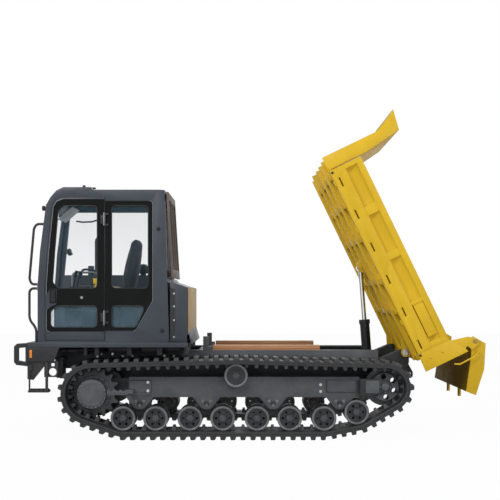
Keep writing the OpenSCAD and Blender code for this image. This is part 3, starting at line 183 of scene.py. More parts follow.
def bumpOf(height, strength, distance):
    return addNode(height.id_data, "ShaderNodeBump", Height=height, Strength=strength, Distance=distance).outputs[0]


def waveAt(coords, way, **inputs):
    settings = {"wave_type": "BANDS", "bands_direction": way}
    return addNode(coords.id_data, "ShaderNodeTexWave", settings, Vector=coords, **inputs).outputs["Fac"]


def seenDirectly(nt):  # rays from the camera, mirrored and bent ones too
    path = nt.nodes.new("ShaderNodeLightPath").outputs
    turned = mathOf("MAXIMUM", path["Is Glossy Ray"], path["Is Transmission Ray"])
    return mathOf("MAXIMUM", path["Is Camera Ray"], turned)


def mixInto(out, factor, a, b):
    mix = addNode(out.id_data, "ShaderNodeMixShader")
    for socket, value in zip(mix.inputs, (factor, a.outputs[0], b.outputs[0])):
        plug(socket, value)
    plug(out.inputs[0], mix.outputs[0])


# sky: white where it is seen, dimmer where it lights

sky = {"light": (0.93, 0.96, 1.0, 1), "ambient": 0.5}
scene.world = bpy.data.worlds.new("studio")
scene.world.use_nodes = True
tree = scene.world.node_tree
tree.nodes.clear()
softSky = addNode(tree, "ShaderNodeBackground", Color=sky["light"], Strength=sky["ambient"])
whiteSky = addNode(tree, "ShaderNodeBackground", Color=(1, 1, 1, 1))
mixInto(tree.nodes.new("ShaderNodeOutputWorld"), seenDirectly(tree), softSky, whiteSky)

# finishes: each recipe gives the inputs of the surface

dustColour = (0.19, 0.17, 0.145)
powderColour = (0.14, 0.132, 0.12)


def painted(flat, colour, shade, rough, peel, dust, shine=0.32):
    dark, light = scaled(colour, 1 - shade), scaled(colour, 1 + shade)
    tone = ramp(noiseAt(flat, 2.3, 5), [(0.3, dark), (0.7, light)])
    tone = mixColour(spread(noiseAt(flat, 70, 3, 0.7), 0.62, 0.8, 0, 0.18), tone, light)
    low = spread(heightOf(flat), 1.05, 0.1, 0.25, 1)  # more dust near the ground
    dirt = times(low, spread(noiseAt(flat, 6.5, 6, 0.65), 0.42, 0.75))
    tone = mixColour(times(dirt, dust * 2.2), tone, dustColour)
    streaks = noiseAt(stretched(flat, (9, 9, 0.9)), 3, 4)
    tone = mixColour(spread(streaks, 0.58, 0.8, 0, 0.1), tone, dark)
    gloss = mathOf("ADD", spread(noiseAt(flat, 9, 4), 0.3, 0.7, *rough), times(dirt, dust))
    return dict(Base_Color=tone, Roughness=gloss, Specular_IOR_Level=shine, Normal=bumpOf(noiseAt(flat, 240, 2), peel, 0.0012))


def rubber(flat, colour, dusty):
    tone = toned(noiseAt(flat, 4, 6, 0.6), colour, 0.7, 1.35, 0.72)
    powder = spread(noiseAt(flat, 17, 6, 0.7), 0.5, 0.78, 0, dusty)
    grain = mathOf("ADD", noiseAt(flat, 130, 4), times(noiseAt(flat, 12, 3), 0.8))
    return dict(Base_Color=mixColour(powder, tone, powderColour), Normal=bumpOf(grain, 0.35, 0.003),
                Roughness=spread(noiseAt(flat, 26, 4), 0.3, 0.7, 0.52, 0.74))


def cast(flat, colour, bare, metal, rough):
    tone = toned(noiseAt(flat, 7, 5), colour, 0.75, 1.3)
    worn = spread(noiseAt(flat, 34, 6, 0.7), 0.56, 0.72)
    return dict(Base_Color=mixColour(times(worn, 0.5), tone, bare), Normal=bumpOf(noiseAt(flat, 160, 5), 0.3, 0.002),
                Metallic=spread(worn, 0, 1, metal, min(1, metal + 0.3)),
                Roughness=spread(noiseAt(flat, 21, 4), 0.3, 0.7, rough - 0.08, rough + 0.12))


def plastic(flat, colour, rough, pebble=0.35, scale=420, shine=0.4):
    cells = addNode(flat.id_data, "ShaderNodeTexVoronoi", {"feature": "SMOOTH_F1"}, Vector=flat, Scale=scale)
    return dict(Base_Color=toned(noiseAt(flat, 6, 4), colour, 0.85, 1.2), Specular_IOR_Level=shine,
                Roughness=spread(noiseAt(flat, 18, 3), 0.3, 0.7, rough - 0.06, rough + 0.08),
                Normal=bumpOf(cells.outputs["Distance"], pebble, 0.0008))


def chrome(flat):
    lines = noiseAt(stretched(flat, (260, 260, 4)), 1, 3)
    tone = ramp(lines, [(0.3, (0.62, 0.63, 0.65)), (0.7, (0.8, 0.81, 0.83))])
    return dict(Base_Color=tone, Metallic=1, Roughness=spread(lines, 0.3, 0.7, 0.07, 0.16), Normal=bumpOf(lines, 0.04, 0.0004))


def wood(flat):
    rings = waveAt(stretched(flat, (1.2, 16, 16)), "Z", Scale=0.9, Distortion=5, Detail=4, Detail_Scale=1.4)
    tone = ramp(rings, [(0.1, (0.28, 0.125, 0.056)), (0.55, (0.42, 0.2, 0.094)), (0.95, (0.52, 0.262, 0.128))])
    fibre = noiseAt(stretched(flat, (4, 130, 130)), 1, 5, 0.7)
    tone = mixColour(spread(fibre, 0.52, 0.72, 0, 0.55), tone, (0.3, 0.15, 0.08))
    return dict(Base_Color=tone, Roughness=spread(fibre, 0.3, 0.7, 0.48, 0.7), Normal=bumpOf(fibre, 0.35, 0.002))


def glass(flat, tint, low, high):
    height, film = heightOf(flat), noiseAt(flat, 5, 4)
    pale = tuple(min(1, c * 1.1 + 0.08) for c in tint)
    body = spread(height, 1.5, 2.4, low, high)  # the tint grows towards the roof
    # the low panes take a paler, more opaque film: painted reflection
    lowPaintedReflection = times(spread(height, 1.42, 1.34), spread(film, 0.25, 0.75, 0.06, 0.22))
    return dict(Base_Color=mixColour(spread(height, 1.35, 1.55), pale, tint), Alpha=mathOf("ADD", body, lowPaintedReflection),
                Roughness=spread(film, 0.3, 0.7, 0.03, 0.09), IOR=1.45)


def woven(flat):
    tone = ramp(noiseAt(flat, 9, 4), [(0.3, (0.013, 0.013, 0.015)), (0.72, (0.03, 0.03, 0.034))])
    weave = times(*[waveAt(flat, way, Scale=170, Distortion=0.6) for way in "YZ"])
    tone = mixColour(spread(weave, 0.1, 0.8, 0, 0.35), tone, (0.055, 0.056, 0.06))
    return dict(Base_Color=tone, Roughness=spread(weave, 0, 1, 0.72, 0.88), Sheen_Weight=0.35, Sheen_Roughness=0.4,
                Normal=bumpOf(weave, 0.4, 0.0009))


recipes = {
    painted: {  # colour, shade, roughness, peel, dust, shine
        "slatePaint": ((0.033, 0.04, 0.051), 0.16, (0.34, 0.48), 0.1, 0.05),
        "framePaint": ((0.056, 0.062, 0.07), 0.22, (0.42, 0.6), 0.16, 0.16),
        "blackPaint": ((0.016, 0.017, 0.019), 0.2, (0.38, 0.55), 0.14, 0.08),
        "bedPaint": ((0.6, 0.38, 0.014), 0.08, (0.4, 0.54), 0.1, 0.03, 0.2),
        # next row: a near-black yellow for faces that lie in shade, painted shadow
        "bedDark": ((0.112, 0.07, 0.002), 0.16, (0.55, 0.7), 0.14, 0.01, 0.03),
        # next row: a slightly darker copy of the bed yellow, painted shade
        "bedShade": ((0.56, 0.35, 0.01), 0.1, (0.44, 0.58), 0.1, 0.04, 0.2),
        "tanPaint": ((0.38, 0.25, 0.065), 0.14, (0.42, 0.58), 0.12, 0.06),
        "guardPaint": ((0.105, 0.082, 0.066), 0.18, (0.5, 0.66), 0.16, 0.06),
        # next row: pale grey for real trim and rails, and for the band's edge line, which is painted highlight
        "greyTrim": ((0.235, 0.25, 0.27), 0.1, (0.36, 0.5), 0.1, 0.04),
    },
    rubber: {"beltRubber": ((0.0145, 0.015, 0.0165), 0.08), "sealRubber": ((0.012, 0.012, 0.013), 0.06)},
    cast: {  # colour, worn colour, metal, roughness
        "wheelCast": ((0.058, 0.063, 0.07), (0.12, 0.125, 0.13), 0.15, 0.44),
        # next row: near-black wheel faces, the shade in the roller dishes painted in
        "wheelDark": ((0.014, 0.015, 0.018), (0.045, 0.048, 0.052), 0.12, 0.4),
        "rimSteel": ((0.13, 0.135, 0.142), (0.24, 0.245, 0.25), 0.45, 0.36),
        "hornSteel": ((0.11, 0.11, 0.112), (0.17, 0.168, 0.16), 0.25, 0.52),
        "engineCast": ((0.2, 0.2, 0.21), (0.34, 0.34, 0.34), 0.5, 0.46),
        "zincSteel": ((0.46, 0.46, 0.44), (0.62, 0.61, 0.57), 0.85, 0.34),
        "boltSteel": ((0.3, 0.3, 0.3), (0.52, 0.51, 0.49), 0.8, 0.36),
    },
    plastic: {  # colour, roughness, pebble, its scale, shine
        "blackPlastic": ((0.014, 0.014, 0.016), 0.52, 0.35, 420, 0.25),
        "blackGloss": ((0.005, 0.006, 0.006), 0.16, 0.03, 60, 0.1),
        "amberLens": ((0.7, 0.21, 0.03), 0.2, 0.25, 150),
        "yellowPlastic": ((0.74, 0.52, 0.03), 0.4),
        "paleTrim": ((0.66, 0.69, 0.68), 0.48),
        "lampGlass": ((0.62, 0.66, 0.7), 0.1, 0.3, 220),
        "screenGlass": ((0.02, 0.026, 0.032), 0.12, 0.02, 80),
    },
    glass: {"cabGlass": ((0.078, 0.18, 0.248), 0.03, 0.078)},  # tint, its strength below and above
    chrome: {"rodChrome": ()},
    wood: {"restWood": ()},
    woven: {"seatCover": ()},
}
finish = {}
for recipe, rows in recipes.items():
    for name, spec in rows.items():
        finish[name] = bpy.data.materials.new(name)
        finish[name].use_nodes = True
        nodes = finish[name].node_tree.nodes
        feed(nodes["Principled BSDF"], **recipe(nodes.new("ShaderNodeTexCoord").outputs["Object"], *spec))

floorSpec = {"size": 60, "colour": (0.55, 0.55, 0.55, 1), "glow": 0.972}


def floorFinish():
    m = bpy.data.materials.new("paleFloor")
    m.use_nodes = True
    nt = m.node_tree
    nt.nodes.clear()
    dull = addNode(nt, "ShaderNodeBsdfDiffuse", Color=floorSpec["colour"])
    glow = addNode(nt, "ShaderNodeEmission", Color=(1, 1, 1, 1), Strength=1)
    mixInto(nt.nodes.new("ShaderNodeOutputMaterial"), times(seenDirectly(nt), floorSpec["glow"]), dull, glow)
    return m


bpy.ops.mesh.primitive_plane_add(size=floorSpec["size"], location=(0, 0, 0))
floor = bpy.context.object
floor.name = "floor"
floor.data.materials.append(floorFinish())
print("studio and", len(finish), "finishes ready")

# finish of each solid that is carried over

solidFinish = {
    "slatePaint": ["platform", "cab_frame", "door_frame", "engine_hood", "access_door", "tank_housing"],
    "framePaint": ["main_frame", "track_frame_left", "track_frame_right", "drive_motors"],
    "blackPaint": ["bogie_arms", "idler_yokes", "hinge_frame", "front_guard", "front_steps", "hand_rails", "hoist_barrel"],
    "bedPaint": ["dump_bed", "gate_latch"],
    # the tailgate takes the darker copy of the bed yellow: painted shade
    "bedShade": ["tailgate"],
    "guardPaint": ["rear_guard"],
    "beltRubber": ["track_belt_left", "track_belt_right"],
    "hornSteel": ["guide_horns"],
    "wheelCast": [n for n in cad if n.startswith(("sprocket", "idler_l", "idler_r"))],
    # rollers and carrier rollers take the near-black finish: painted shade in their dishes
    "wheelDark": [n for n in cad if n.startswith(("carrier", "roller"))],
    "engineCast": ["engine"],
    "restWood": ["bed_sills"],
    "cabGlass": ["cab_windows", "door_glass"],
    "blackPlastic": ["door_handle", "seat_base", "console", "travel_lever_left", "travel_lever_right", "air_cleaner"],
    "amberLens": ["lamps"],
    "seatCover": ["seat_cushion", "seat_back"],
    "rodChrome": ["hoist_rod"],
}
for name, solids in solidFinish.items():
    for solid in solids:
        cad[solid].data.materials.clear()
        cad[solid].data.materials.append(finish[name])

# shapes are (points, faces) in metres


def joined(*shapes):
    points, faces = [], []
    for p, f in shapes:
        base = len(points)
        points += [tuple(v) for v in p]
        faces += [tuple(i + base for i in face) for face in f]
    return points, faces


def moved(shape, place):
    return [tuple(place(*p)) for p in shape[0]], shape[1]


def evaluated(draft):
    return bpy.data.meshes.new_from_object(draft.evaluated_get(bpy.context.evaluated_depsgraph_get()))


def modified(mesh, kind, settings, values=None):
    draft = linked("draft", mesh)
    work = draft.modifiers.new("work", kind)
    for key, value in settings.items():
        setattr(work, key, value)
    for key, value in (values or {}).items():
        work[key] = value
    ready = evaluated(draft)
    bpy.data.objects.remove(draft)
    return ready


def reworked(mesh, work, into=None):
    bm = bmesh.new()
    bm.from_mesh(mesh)
    work(bm)
    bm.to_mesh(into or mesh)
    bm.free()
    return into or mesh


def meshOf(name, shape):
    mesh = bpy.data.meshes.new(name)
    mesh.from_pydata(shape[0], [], shape[1])
    return reworked(mesh, lambda bm: bmesh.ops.recalc_face_normals(bm, faces=bm.faces))


def finishMesh(name, mesh, material, body, smooth=35):
    mesh.polygons.foreach_set("use_smooth", [True] * len(mesh.polygons))
    mesh.set_sharp_from_angle(angle=radians(smooth))
    if material:
        mesh.materials.clear()
        mesh.materials.append(finish[material])
    obj = linked(name, mesh)
    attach(obj, body)
    return obj


def piece(name, shape, material, body="chassis", smooth=35):
    return finishMesh(name, meshOf(name, shape), material, body, smooth)


def block(x0, x1, y0, y1, z0, z1, edge):
    bm = bmesh.new()
    bmesh.ops.create_cube(bm, size=1)
    low, high = Vector((x0, y0, z0)), Vector((x1, y1, z1))
    for v in bm.verts:
        v.co = (low + high) / 2 + v.co * (high - low)
    edge = min(edge, *((high - low) * 0.3))
    bmesh.ops.bevel(bm, geom=bm.edges[:], offset=edge, segments=2, affect="EDGES", profile=0.6)
    bm.verts.index_update()
    shape = [tuple(v.co) for v in bm.verts], [tuple(v.index for v in f.verts) for f in bm.faces]
    bm.free()
    return shape


def blocks(*rows):
    return joined(*[block(*row) for row in rows])


def sideBlocks(rows, sides=(-1, 1)):  # Y counts outwards
    return blocks(*[(x0, x1, *sorted((side * y0, side * y1)), z0, z1, edge)
                    for x0, x1, y0, y1, z0, z1, edge in rows for side in sides])


def corner(a, c, b, steps):
    return [a * (1 - t) ** 2 + c * 2 * t * (1 - t) + b * t ** 2 for t in (k / steps for k in range(steps + 1))]


def rounded(outline, radius, steps=5):
    points = []
    n = len(outline)
    for i, spot in enumerate(outline):
        c = Vector(spot)
        a, b = Vector(outline[i - 1]) - c, Vector(outline[(i + 1) % n]) - c
        r = radius[i] if isinstance(radius, list) else radius
        reach = min(r / max(tan(a.angle(b) / 2), 0.05), a.length * 0.48, b.length * 0.48)
        points += corner(c + a.normalized() * reach, c, c + b.normalized() * reach, steps)
    return [tuple(p) for p in points]


def bent(path, radius, steps=6):
    path = [Vector(c) for c in path]
    points = [path[0]]
    for a, c, b in zip(path, path[1:], path[2:]):
        reach = min(radius, (a - c).length * 0.45, (b - c).length * 0.45)
        points += corner(c + (a - c).normalized() * reach, c, c + (b - c).normalized() * reach, steps)
    return points + [path[-1]]


def plateY(outline, y0, y1, holes=()):
    loops = [list(outline)] + [list(h) for h in holes]
    tris = tessellate_polygon([[Vector((x, z, 0)) for x, z in loop] for loop in loops])
    flat = [p for loop in loops for p in loop]
    n = len(flat)
    points = [(x, y0, z) for x, z in flat] + [(x, y1, z) for x, z in flat]
    faces = [tuple(t) for t in tris] + [tuple(i + n for i in reversed(t)) for t in tris]
    base = 0
    for loop in loops:
        m = len(loop)
        faces += [(base + i, base + (i + 1) % m, base + (i + 1) % m + n, base + i + n) for i in range(m)]
        base += m
    return points, faces


def skin(rings, closed=False):
    n, m = len(rings), len(rings[0])
    faces = []
    for i in range(n if closed else n - 1):
        j = (i + 1) % n
        faces += [(i * m + k, i * m + (k + 1) % m, j * m + (k + 1) % m, j * m + k) for k in range(m)]
    if not closed:
        faces += [tuple(range(m)), tuple((n - 1) * m + k for k in reversed(range(m)))]
    return [tuple(p) for ring in rings for p in ring], faces


def around(sides):
    return [(cos(2 * pi * k / sides), sin(2 * pi * k / sides)) for k in range(sides)]


def latheAt(profile, centre, axis, sides, way=1, ring=False):
    turn = {"Y": lambda u, v, t: (u, t, v), "Z": lambda u, v, t: (u, v, t), "X": lambda u, v, t: (t, u, v)}[axis]
    return skin([[Vector(centre) + Vector(turn(r * c, r * s, t * way)) for c, s in around(sides)] for r, t in profile], ring)


def button(radius, wall, crown, height):
    return [(0, 0), (radius, 0), (radius, wall), (crown, height), (0, height)]


def tubeAlong(path, radius, sides=12, closed=False):
    path = [Vector(p) for p in path]
    n = len(path)
    rings, side = [], None
    for i, p in enumerate(path):
        before = path[i - 1] if closed or i else p
        after = path[(i + 1) % n] if closed or i < n - 1 else p
        way = (after - before).normalized()
        side = side or way.orthogonal().normalized()
        side = (side - way * side.dot(way)).normalized()
        up = way.cross(side)
        rings.append([p + (side * c + up * s) * radius for c, s in around(sides)])
    return skin(rings, closed)


def pipe(path, bend, radius, sides=12, steps=6):
    return tubeAlong(bent(path, bend, steps), radius, sides)


softSpec = {"weld": 3e-5, "flat": 0.6, "angle": 30, "segments": 2, "smooth": 28}


def merged(bm):
    bmesh.ops.remove_doubles(bm, verts=bm.verts, dist=softSpec["weld"])
    bmesh.ops.dissolve_limit(bm, angle_limit=radians(softSpec["flat"]), verts=bm.verts, edges=bm.edges)
    bmesh.ops.connect_verts_concave(bm, faces=bm.faces)


def softened(node, width, patches=()):
    mesh = reworked(cad[node].data, merged, bpy.data.meshes.new(node + "Shell"))
    for attribute in ("custom_normal", "sharp_edge", "sharp_face"):
        if attribute in mesh.attributes:
            mesh.attributes.remove(mesh.attributes[attribute])
    ready = modified(mesh, "BEVEL", {
        "width": width, "segments": softSpec["segments"], "limit_method": "ANGLE", "angle_limit": radians(softSpec["angle"]),
        "use_clamp_overlap": True, "miter_outer": "MITER_ARC"})
    shell = finishMesh(node + "Shell", ready, None, cad[node]["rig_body"], softSpec["smooth"])
    ready.materials.clear()
    ready.materials.append(cad[node].data.materials[0])
    for low, high, way, name in patches:  # faces in a box that look one way take another finish
        ready.materials.append(finish[name])
        limit = 0.5 * Vector(way).length - 1e-9
        for face in ready.polygons:
            inside = all(a < c < b for a, c, b in zip(low, face.center, high))
            if inside and face.normal.dot(Vector(way)) > limit:
                face.material_index = len(ready.materials) - 1
    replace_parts(shell, node)


# geometry node trees


def nodeTree(name, inputs):
    nt = bpy.data.node_groups.new(name, "GeometryNodeTree")
    for way in ("INPUT", "OUTPUT"):
        nt.interface.new_socket("Geometry", in_out=way, socket_type="NodeSocketGeometry")
    for key, kind in {**inputs, "Finish": "Material"}.items():
        nt.interface.new_socket(key, in_out="INPUT", socket_type="NodeSocket" + kind)
    return nt, nt.nodes.new("NodeGroupInput").outputs


def onPoints(nt, points, instance, **inputs):
    return addNode(nt, "GeometryNodeInstanceOnPoints", Points=points, Instance=instance, **inputs).outputs[0]


def closeTree(nt, source, start):
    solid = addNode(nt, "GeometryNodeRealizeInstances", Geometry=source)
    dressed = addNode(nt, "GeometryNodeSetMaterial", Geometry=solid.outputs[0], Material=start["Finish"])
    nt.links.new(dressed.outputs[0], nt.nodes.new("NodeGroupOutput").inputs[0])
    return nt


def runTree(nt, name, points, values, material, body="chassis", turns=None):
    mesh = bpy.data.meshes.new(name + "Points")
    mesh.from_pydata(points, [], [])
    if turns:
        mesh.attributes.new("turn", "FLOAT", "POINT").data.foreach_set("value", turns)
    names = {s.name: s.identifier for s in nt.interface.items_tree if s.in_out == "INPUT"}
    values = {names[key]: value for key, value in {**values, "Finish": finish[material]}.items()}
    ready = modified(mesh, "NODES", {"node_group": nt}, values)
    return finishMesh(name, ready, None, body, 30)


def boltTree():
    nt, start = nodeTree("boltRing", {"Count": "Int", "Ring Radius": "Float", "Bolt Radius": "Float",
                                      "Bolt Height": "Float", "Facing": "Vector"})
    radius, height = start["Bolt Radius"], start["Bolt Height"]
    ring = addNode(nt, "GeometryNodeMeshCircle", Vertices=start["Count"], Radius=start["Ring Radius"])
    washer = addNode(nt, "GeometryNodeMeshCylinder", Vertices=14, Radius=times(radius, 1.35),
                     Depth=times(height, 0.5))
    head = addNode(nt, "GeometryNodeMeshCylinder", Vertices=6, Radius=radius,
                   Depth=times(height, 2.0))
    both = nt.nodes.new("GeometryNodeJoinGeometry")
    nt.links.new(washer.outputs[0], both.inputs[0])
    nt.links.new(head.outputs[0], both.inputs[0])
    cluster = onPoints(nt, ring.outputs[0], both.outputs[0])
    return closeTree(nt, onPoints(nt, start["Geometry"], cluster, Rotation=start["Facing"]), start)


def lugTree():
    nt, start = nodeTree("beltLugs", {"Lug": "Object"})
    lug = addNode(nt, "GeometryNodeObjectInfo", Object=start["Lug"])
    turn = addNode(nt, "GeometryNodeInputNamedAttribute", {"data_type": "FLOAT"}, Name="turn")
    angle = addNode(nt, "ShaderNodeCombineXYZ", Y=turn.outputs["Attribute"])
    row = onPoints(nt, start["Geometry"], lug.outputs["Geometry"], Rotation=angle.outputs[0])
    return closeTree(nt, row, start)


def slatTree():
    nt, start = nodeTree("slatRow", {"Count": "Int", "Step": "Vector", "Size": "Vector", "Tilt": "Vector"})
    line = addNode(nt, "GeometryNodeMeshLine", Count=start["Count"], Offset=start["Step"])
    slat = addNode(nt, "GeometryNodeMeshCube", Size=start["Size"])
    row = onPoints(nt, line.outputs[0], slat.outputs[0], Rotation=start["Tilt"])
    return closeTree(nt, onPoints(nt, start["Geometry"], row), start)


boltRing, beltLugs, slatRow = boltTree(), lugTree(), slatTree()
facing = {"-Y": (pi / 2, 0, 0), "+Y": (-pi / 2, 0, 0), "+X": (0, pi / 2, 0), "+Z": (0, 0, 0)}


def bolts(name, spots, ring, count, radius, height, way, body="chassis", material="zincSteel"):
    values = {"Count": count, "Ring Radius": ring, "Bolt Radius": radius, "Bolt Height": height, "Facing": facing[way]}
    return runTree(boltRing, name, spots, values, material, body)


def singleBolts(name, spots, radius, height, way, material="zincSteel"):
    ring = 1e-5  # three heads on one spot, merged to one
    made = bolts(name, spots, ring, 3, radius, height, way, "chassis", material)
    reworked(made.data, lambda bm: bmesh.ops.remove_doubles(bm, verts=bm.verts, dist=1e-4))


print("shape tools ready")

# belts: ribbed carcass with lugs along the loop

beltSpec = {"middle": 0.85, "half": 0.25, "thick": 0.045, "lug": 0.035, "pitch": 0.1, "rings": 4}
trackSpec = {"bogies": [-1.13 + 0.678 * b for b in range(4)], "reach": 0.165, "axle": 0.2069, "lastAxle": 0.2699}
axleSpots = [(x + dx, trackSpec["axle"]) for x in trackSpec["bogies"] for dx in (-trackSpec["reach"], trackSpec["reach"])]
axleSpots[7] = (axleSpots[7][0], trackSpec["lastAxle"])
driveSpot, idlerSpot, carrierSpot = (-1.6, 0.46), (1.359, 0.523), (-0.151, 0.64)
beltLoop = [(*axleSpots[0], 0.1269), (*axleSpots[6], 0.1269), (*axleSpots[7], 0.1269), (*idlerSpot, 0.1979),
            (*carrierSpot, 0.1209), (*driveSpot, 0.263)]  # X, Z and radius of the belt's inner face


def loopLegs():
    legs, at, leave = [], 0, []
    ahead = beltLoop[1:] + beltLoop[:1]
    for (x, z, r), (nextX, nextZ, nextR) in zip(beltLoop, ahead):
        leave.append(atan2(nextZ - z, nextX - x) - acos((r - nextR) / hypot(nextX - x, nextZ - z)))
    for i, ((x, z, r), (nextX, nextZ, nextR)) in enumerate(zip(beltLoop, ahead)):
        arc = (leave[i] - leave[i - 1]) % (2 * pi) * r
        legs.append((at, arc, leave[i - 1], leave[i], (x, z, r)))
        at += arc + sqrt((nextX - x) ** 2 + (nextZ - z) ** 2 - (r - nextR) ** 2)
    return legs, at


legs, loopLength = loopLegs()
linkCount = round(loopLength / beltSpec["pitch"])
linkLength = loopLength / linkCount


def onLoop(s, off):
    s %= loopLength
    start, arc, before, after, (cx, cz, r) = [leg for leg in legs if leg[0] <= s + 1e-9][-1]
    t = s - start
    a = before + t / r if t < arc else after
    go = max(0, t - arc)
    return cx + (r + off) * cos(a) - go * sin(a), cz + (r + off) * sin(a) + go * cos(a), a


def beltCarcass(side):
    w, t = beltSpec["half"], beltSpec["thick"]
    edge = [(0.006, 0), (0, 0.007), (0, 0.016), (0.004, 0.019), (0.004, 0.025), (0, 0.028), (0, 0.038), (0.007, t)]
    across = [(inset - w, off) for inset, off in edge] + [(w - inset, off) for inset, off in reversed(edge)]
    count = linkCount * beltSpec["rings"]
    rings = []
    for i in range(count):
        spots = [(y, onLoop(loopLength * i / count, off)) for y, off in across]
        rings.append([(x, side * beltSpec["middle"] + y, z) for y, (x, z, a) in spots])
    return skin(rings, True)


def lugShape():
    base, top, h, w = 0.0285, 0.0205, beltSpec["lug"], beltSpec["half"]
    half = [(w, 0, 0), (w - 0.018, 0, 1.0), (0.13, -0.006, 1.0), (0.112, -0.007, 0.82), (0.03, -0.012, 0.82)]
    cuts = [(-y, shift, tall) for y, shift, tall in half] + [(0, -0.013, 1.0)] + half[::-1]
    rings = []
    for y, shift, tall in cuts:
        low, high, z = (base, top, h * tall) if tall else (base * 0.96, top * 1.2, h * 0.28)
        profile = [(-low, -0.004), (-low, 0), (-high - 0.002, z - 0.004), (-high + 0.002, z)]
        profile += [(-x, z) for x, z in reversed(profile)]
        rings.append([(x + shift, y, z) for x, z in profile])
    return skin(rings)


lugMaster = linked("lugMaster", meshOf("lugMaster", lugShape()))
bpy.context.view_layer.update()
for sideName, side, way in bothSides:
    carcass = piece("belt_" + sideName, beltCarcass(side), "beltRubber", smooth=40)
    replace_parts(carcass, "track_belt_" + sideName)
    steps = [onLoop((i + 0.5) * linkLength, beltSpec["thick"]) for i in range(linkCount)]
    runTree(beltLugs, "lugs_" + sideName, [(x, side * beltSpec["middle"], z) for x, z, a in steps], {"Lug": lugMaster},
            "beltRubber", "chassis", [pi / 2 - a for x, z, a in steps])
bpy.data.objects.remove(lugMaster)
print("belts laid,", linkCount, "lugs a side")

# cab: black glass bands with seals and a painted edge highlight

cabSpec = {"band": 0.0025, "corner": 0.045, "edge": 0.035, "seal": 0.0045, "edgeHighlight": 0.0022}
bands = {
    "door_band": dict(
        body="door", face=-0.952, seam=-1.4865,
        edge=[(-2.073, 1.085), (-1.4865, 1.085), (-1.4865, 2.428), (-1.915, 2.428), (-1.968, 2.404), (-2.003, 2.352),
              (-2.049, 1.898), (-2.073, 1.56)],
        panes=[[(-2.009, 1.582), (-1.953, 1.524), (-1.559, 1.524), (-1.559, 2.36), (-1.893, 2.36), (-1.953, 2.304),
                (-1.987, 1.9)],
               [(-2.029, 1.128), (-1.559, 1.128), (-1.559, 1.346), (-1.96, 1.346), (-2.029, 1.291)]]),
    "side_band": dict(
        body="chassis", face=-0.95, seam=-1.4785,
        edge=[(-1.4785, 1.093), (-1.172, 1.093), (-0.997, 1.398), (-0.997, 2.41), (-1.4785, 2.41)],
        panes=[[(-1.411, 1.524), (-1.042, 1.524), (-1.042, 2.36), (-1.411, 2.36)],
               [(-1.411, 1.128), (-1.166, 1.128), (-1.067, 1.346), (-1.411, 1.346)]]),
}


def glassBand(name, body, face, seam, edge, panes):
    holes = [rounded(p, cabSpec["corner"]) for p in panes]
    outer = rounded(edge, [0.004 if abs(x - seam) < 1e-6 else cabSpec["edge"] for x, z in edge])
    front = face - cabSpec["band"]
    piece(name, plateY(outer, front, face + 0.0004, holes), "blackGloss", body, smooth=40)
    seals = [tubeAlong([(x, front, z) for x, z in rim], cabSpec["seal"], 8, True) for rim in holes]
    piece(name + "_seals", joined(*seals), "sealRubber", body, smooth=60)
    free = [abs(x - seam) > 0.005 for x, z in outer]  # the painted edge highlight leaves out the side at the seam
    start = next(i for i in range(len(outer)) if free[i] and not free[i - 1])
    rim = [(x, face - 0.001, z) for x, z in outer[start:] + outer[:start] if abs(x - seam) > 0.005]
    # a pale grey tube along the band's outer edge: painted highlight
    piece(name + "_trim", tubeAlong(rim, cabSpec["edgeHighlight"], 6), "greyTrim", body, smooth=60)


for name, spec in bands.items():
    glassBand(name, **spec)
knuckleFace = min(v.co.y for v in cad["door_frame"].data.vertices)
strips = [(-1.4925, -1.4815, knuckleFace - 0.002, knuckleFace + 0.003, z0, z1, 0.001)
          for z0, z1 in ((1.15, 1.298), (2.158, 2.288))]
piece("hinge_strips", blocks(*strips), "greyTrim", "door")

# door fittings: slate corner plate with the handle recess, latch button and inner grab bar
handleSpec = {
    "plate": [(-2.078, 1.292), (-2.03, 1.338), (-1.972, 1.362), (-1.966, 1.52), (-2.032, 1.52), (-2.078, 1.452)],
    "hole": [(-2.038, 1.372), (-1.975, 1.372), (-1.975, 1.516), (-2.038, 1.516)],
    "button": [(0, 0.004), (0.01, 0.004), (0.014, 0), (0.014, -0.006), (0.01, -0.009), (0, -0.009)],
    "pull": [(-1.62, -0.914, 1.4), (-1.62, -0.88, 1.4), (-1.62, -0.88, 1.62), (-1.62, -0.914, 1.62)],
}
handleHole = rounded(handleSpec["hole"], 0.012)
handlePlate = plateY(rounded(handleSpec["plate"], 0.02), -0.9562, -0.9535, [handleHole])
piece("handle_plate", handlePlate, "slatePaint", "door")
piece("handle_rim", tubeAlong([(x, -0.9565, z) for x, z in handleHole], 0.004, 8, True), "blackPlastic", "door", smooth=60)
piece("latch_button", latheAt(handleSpec["button"], (-1.715, -0.9545, 1.428), "Y", 24), "boltSteel", "door")
piece("door_pull", pipe(handleSpec["pull"], 0.03, 0.01), "blackPlastic", "door", smooth=60)

# grab rails on the cab's front, and on the hood
hoodLow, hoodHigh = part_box("engine_hood")
railSpec = {
    "radius": 0.013, "y": -0.93, "bend": 0.05, "feet": (1.564, 1.522),
    "cab": [[(-2.1066, 2.176), (-2.174, 2.176), (-2.204, 2.134), (-2.25, 1.616), (-2.226, 1.564), (-2.1642, 1.564)],
            [(-2.1642, 1.522), (-2.226, 1.522), (-2.25, 1.492), (-2.25, 1.202), (-2.18, 1.12), (-2.18, 0.9762)]],
    "hood": [(-1.944, -1.784, 0.51, 0.11), (-1.834, -1.674, 0.91, 0.498)],
}
railPaths = [[(x, railSpec["y"], z) for x, z in path] for path in railSpec["cab"]]
for x0, x1, y, tall in railSpec["hood"]:
    railPaths.append([(x, y, hoodHigh.z + up) for x, up in ((x0, 0), (x0, tall), (x1, tall), (x1, 0))])
rails = joined(*[pipe(path, railSpec["bend"], railSpec["radius"], 16, 8) for path in railPaths])
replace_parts(piece("grab_rails", rails, "blackPaint", smooth=60), "hand_rails")
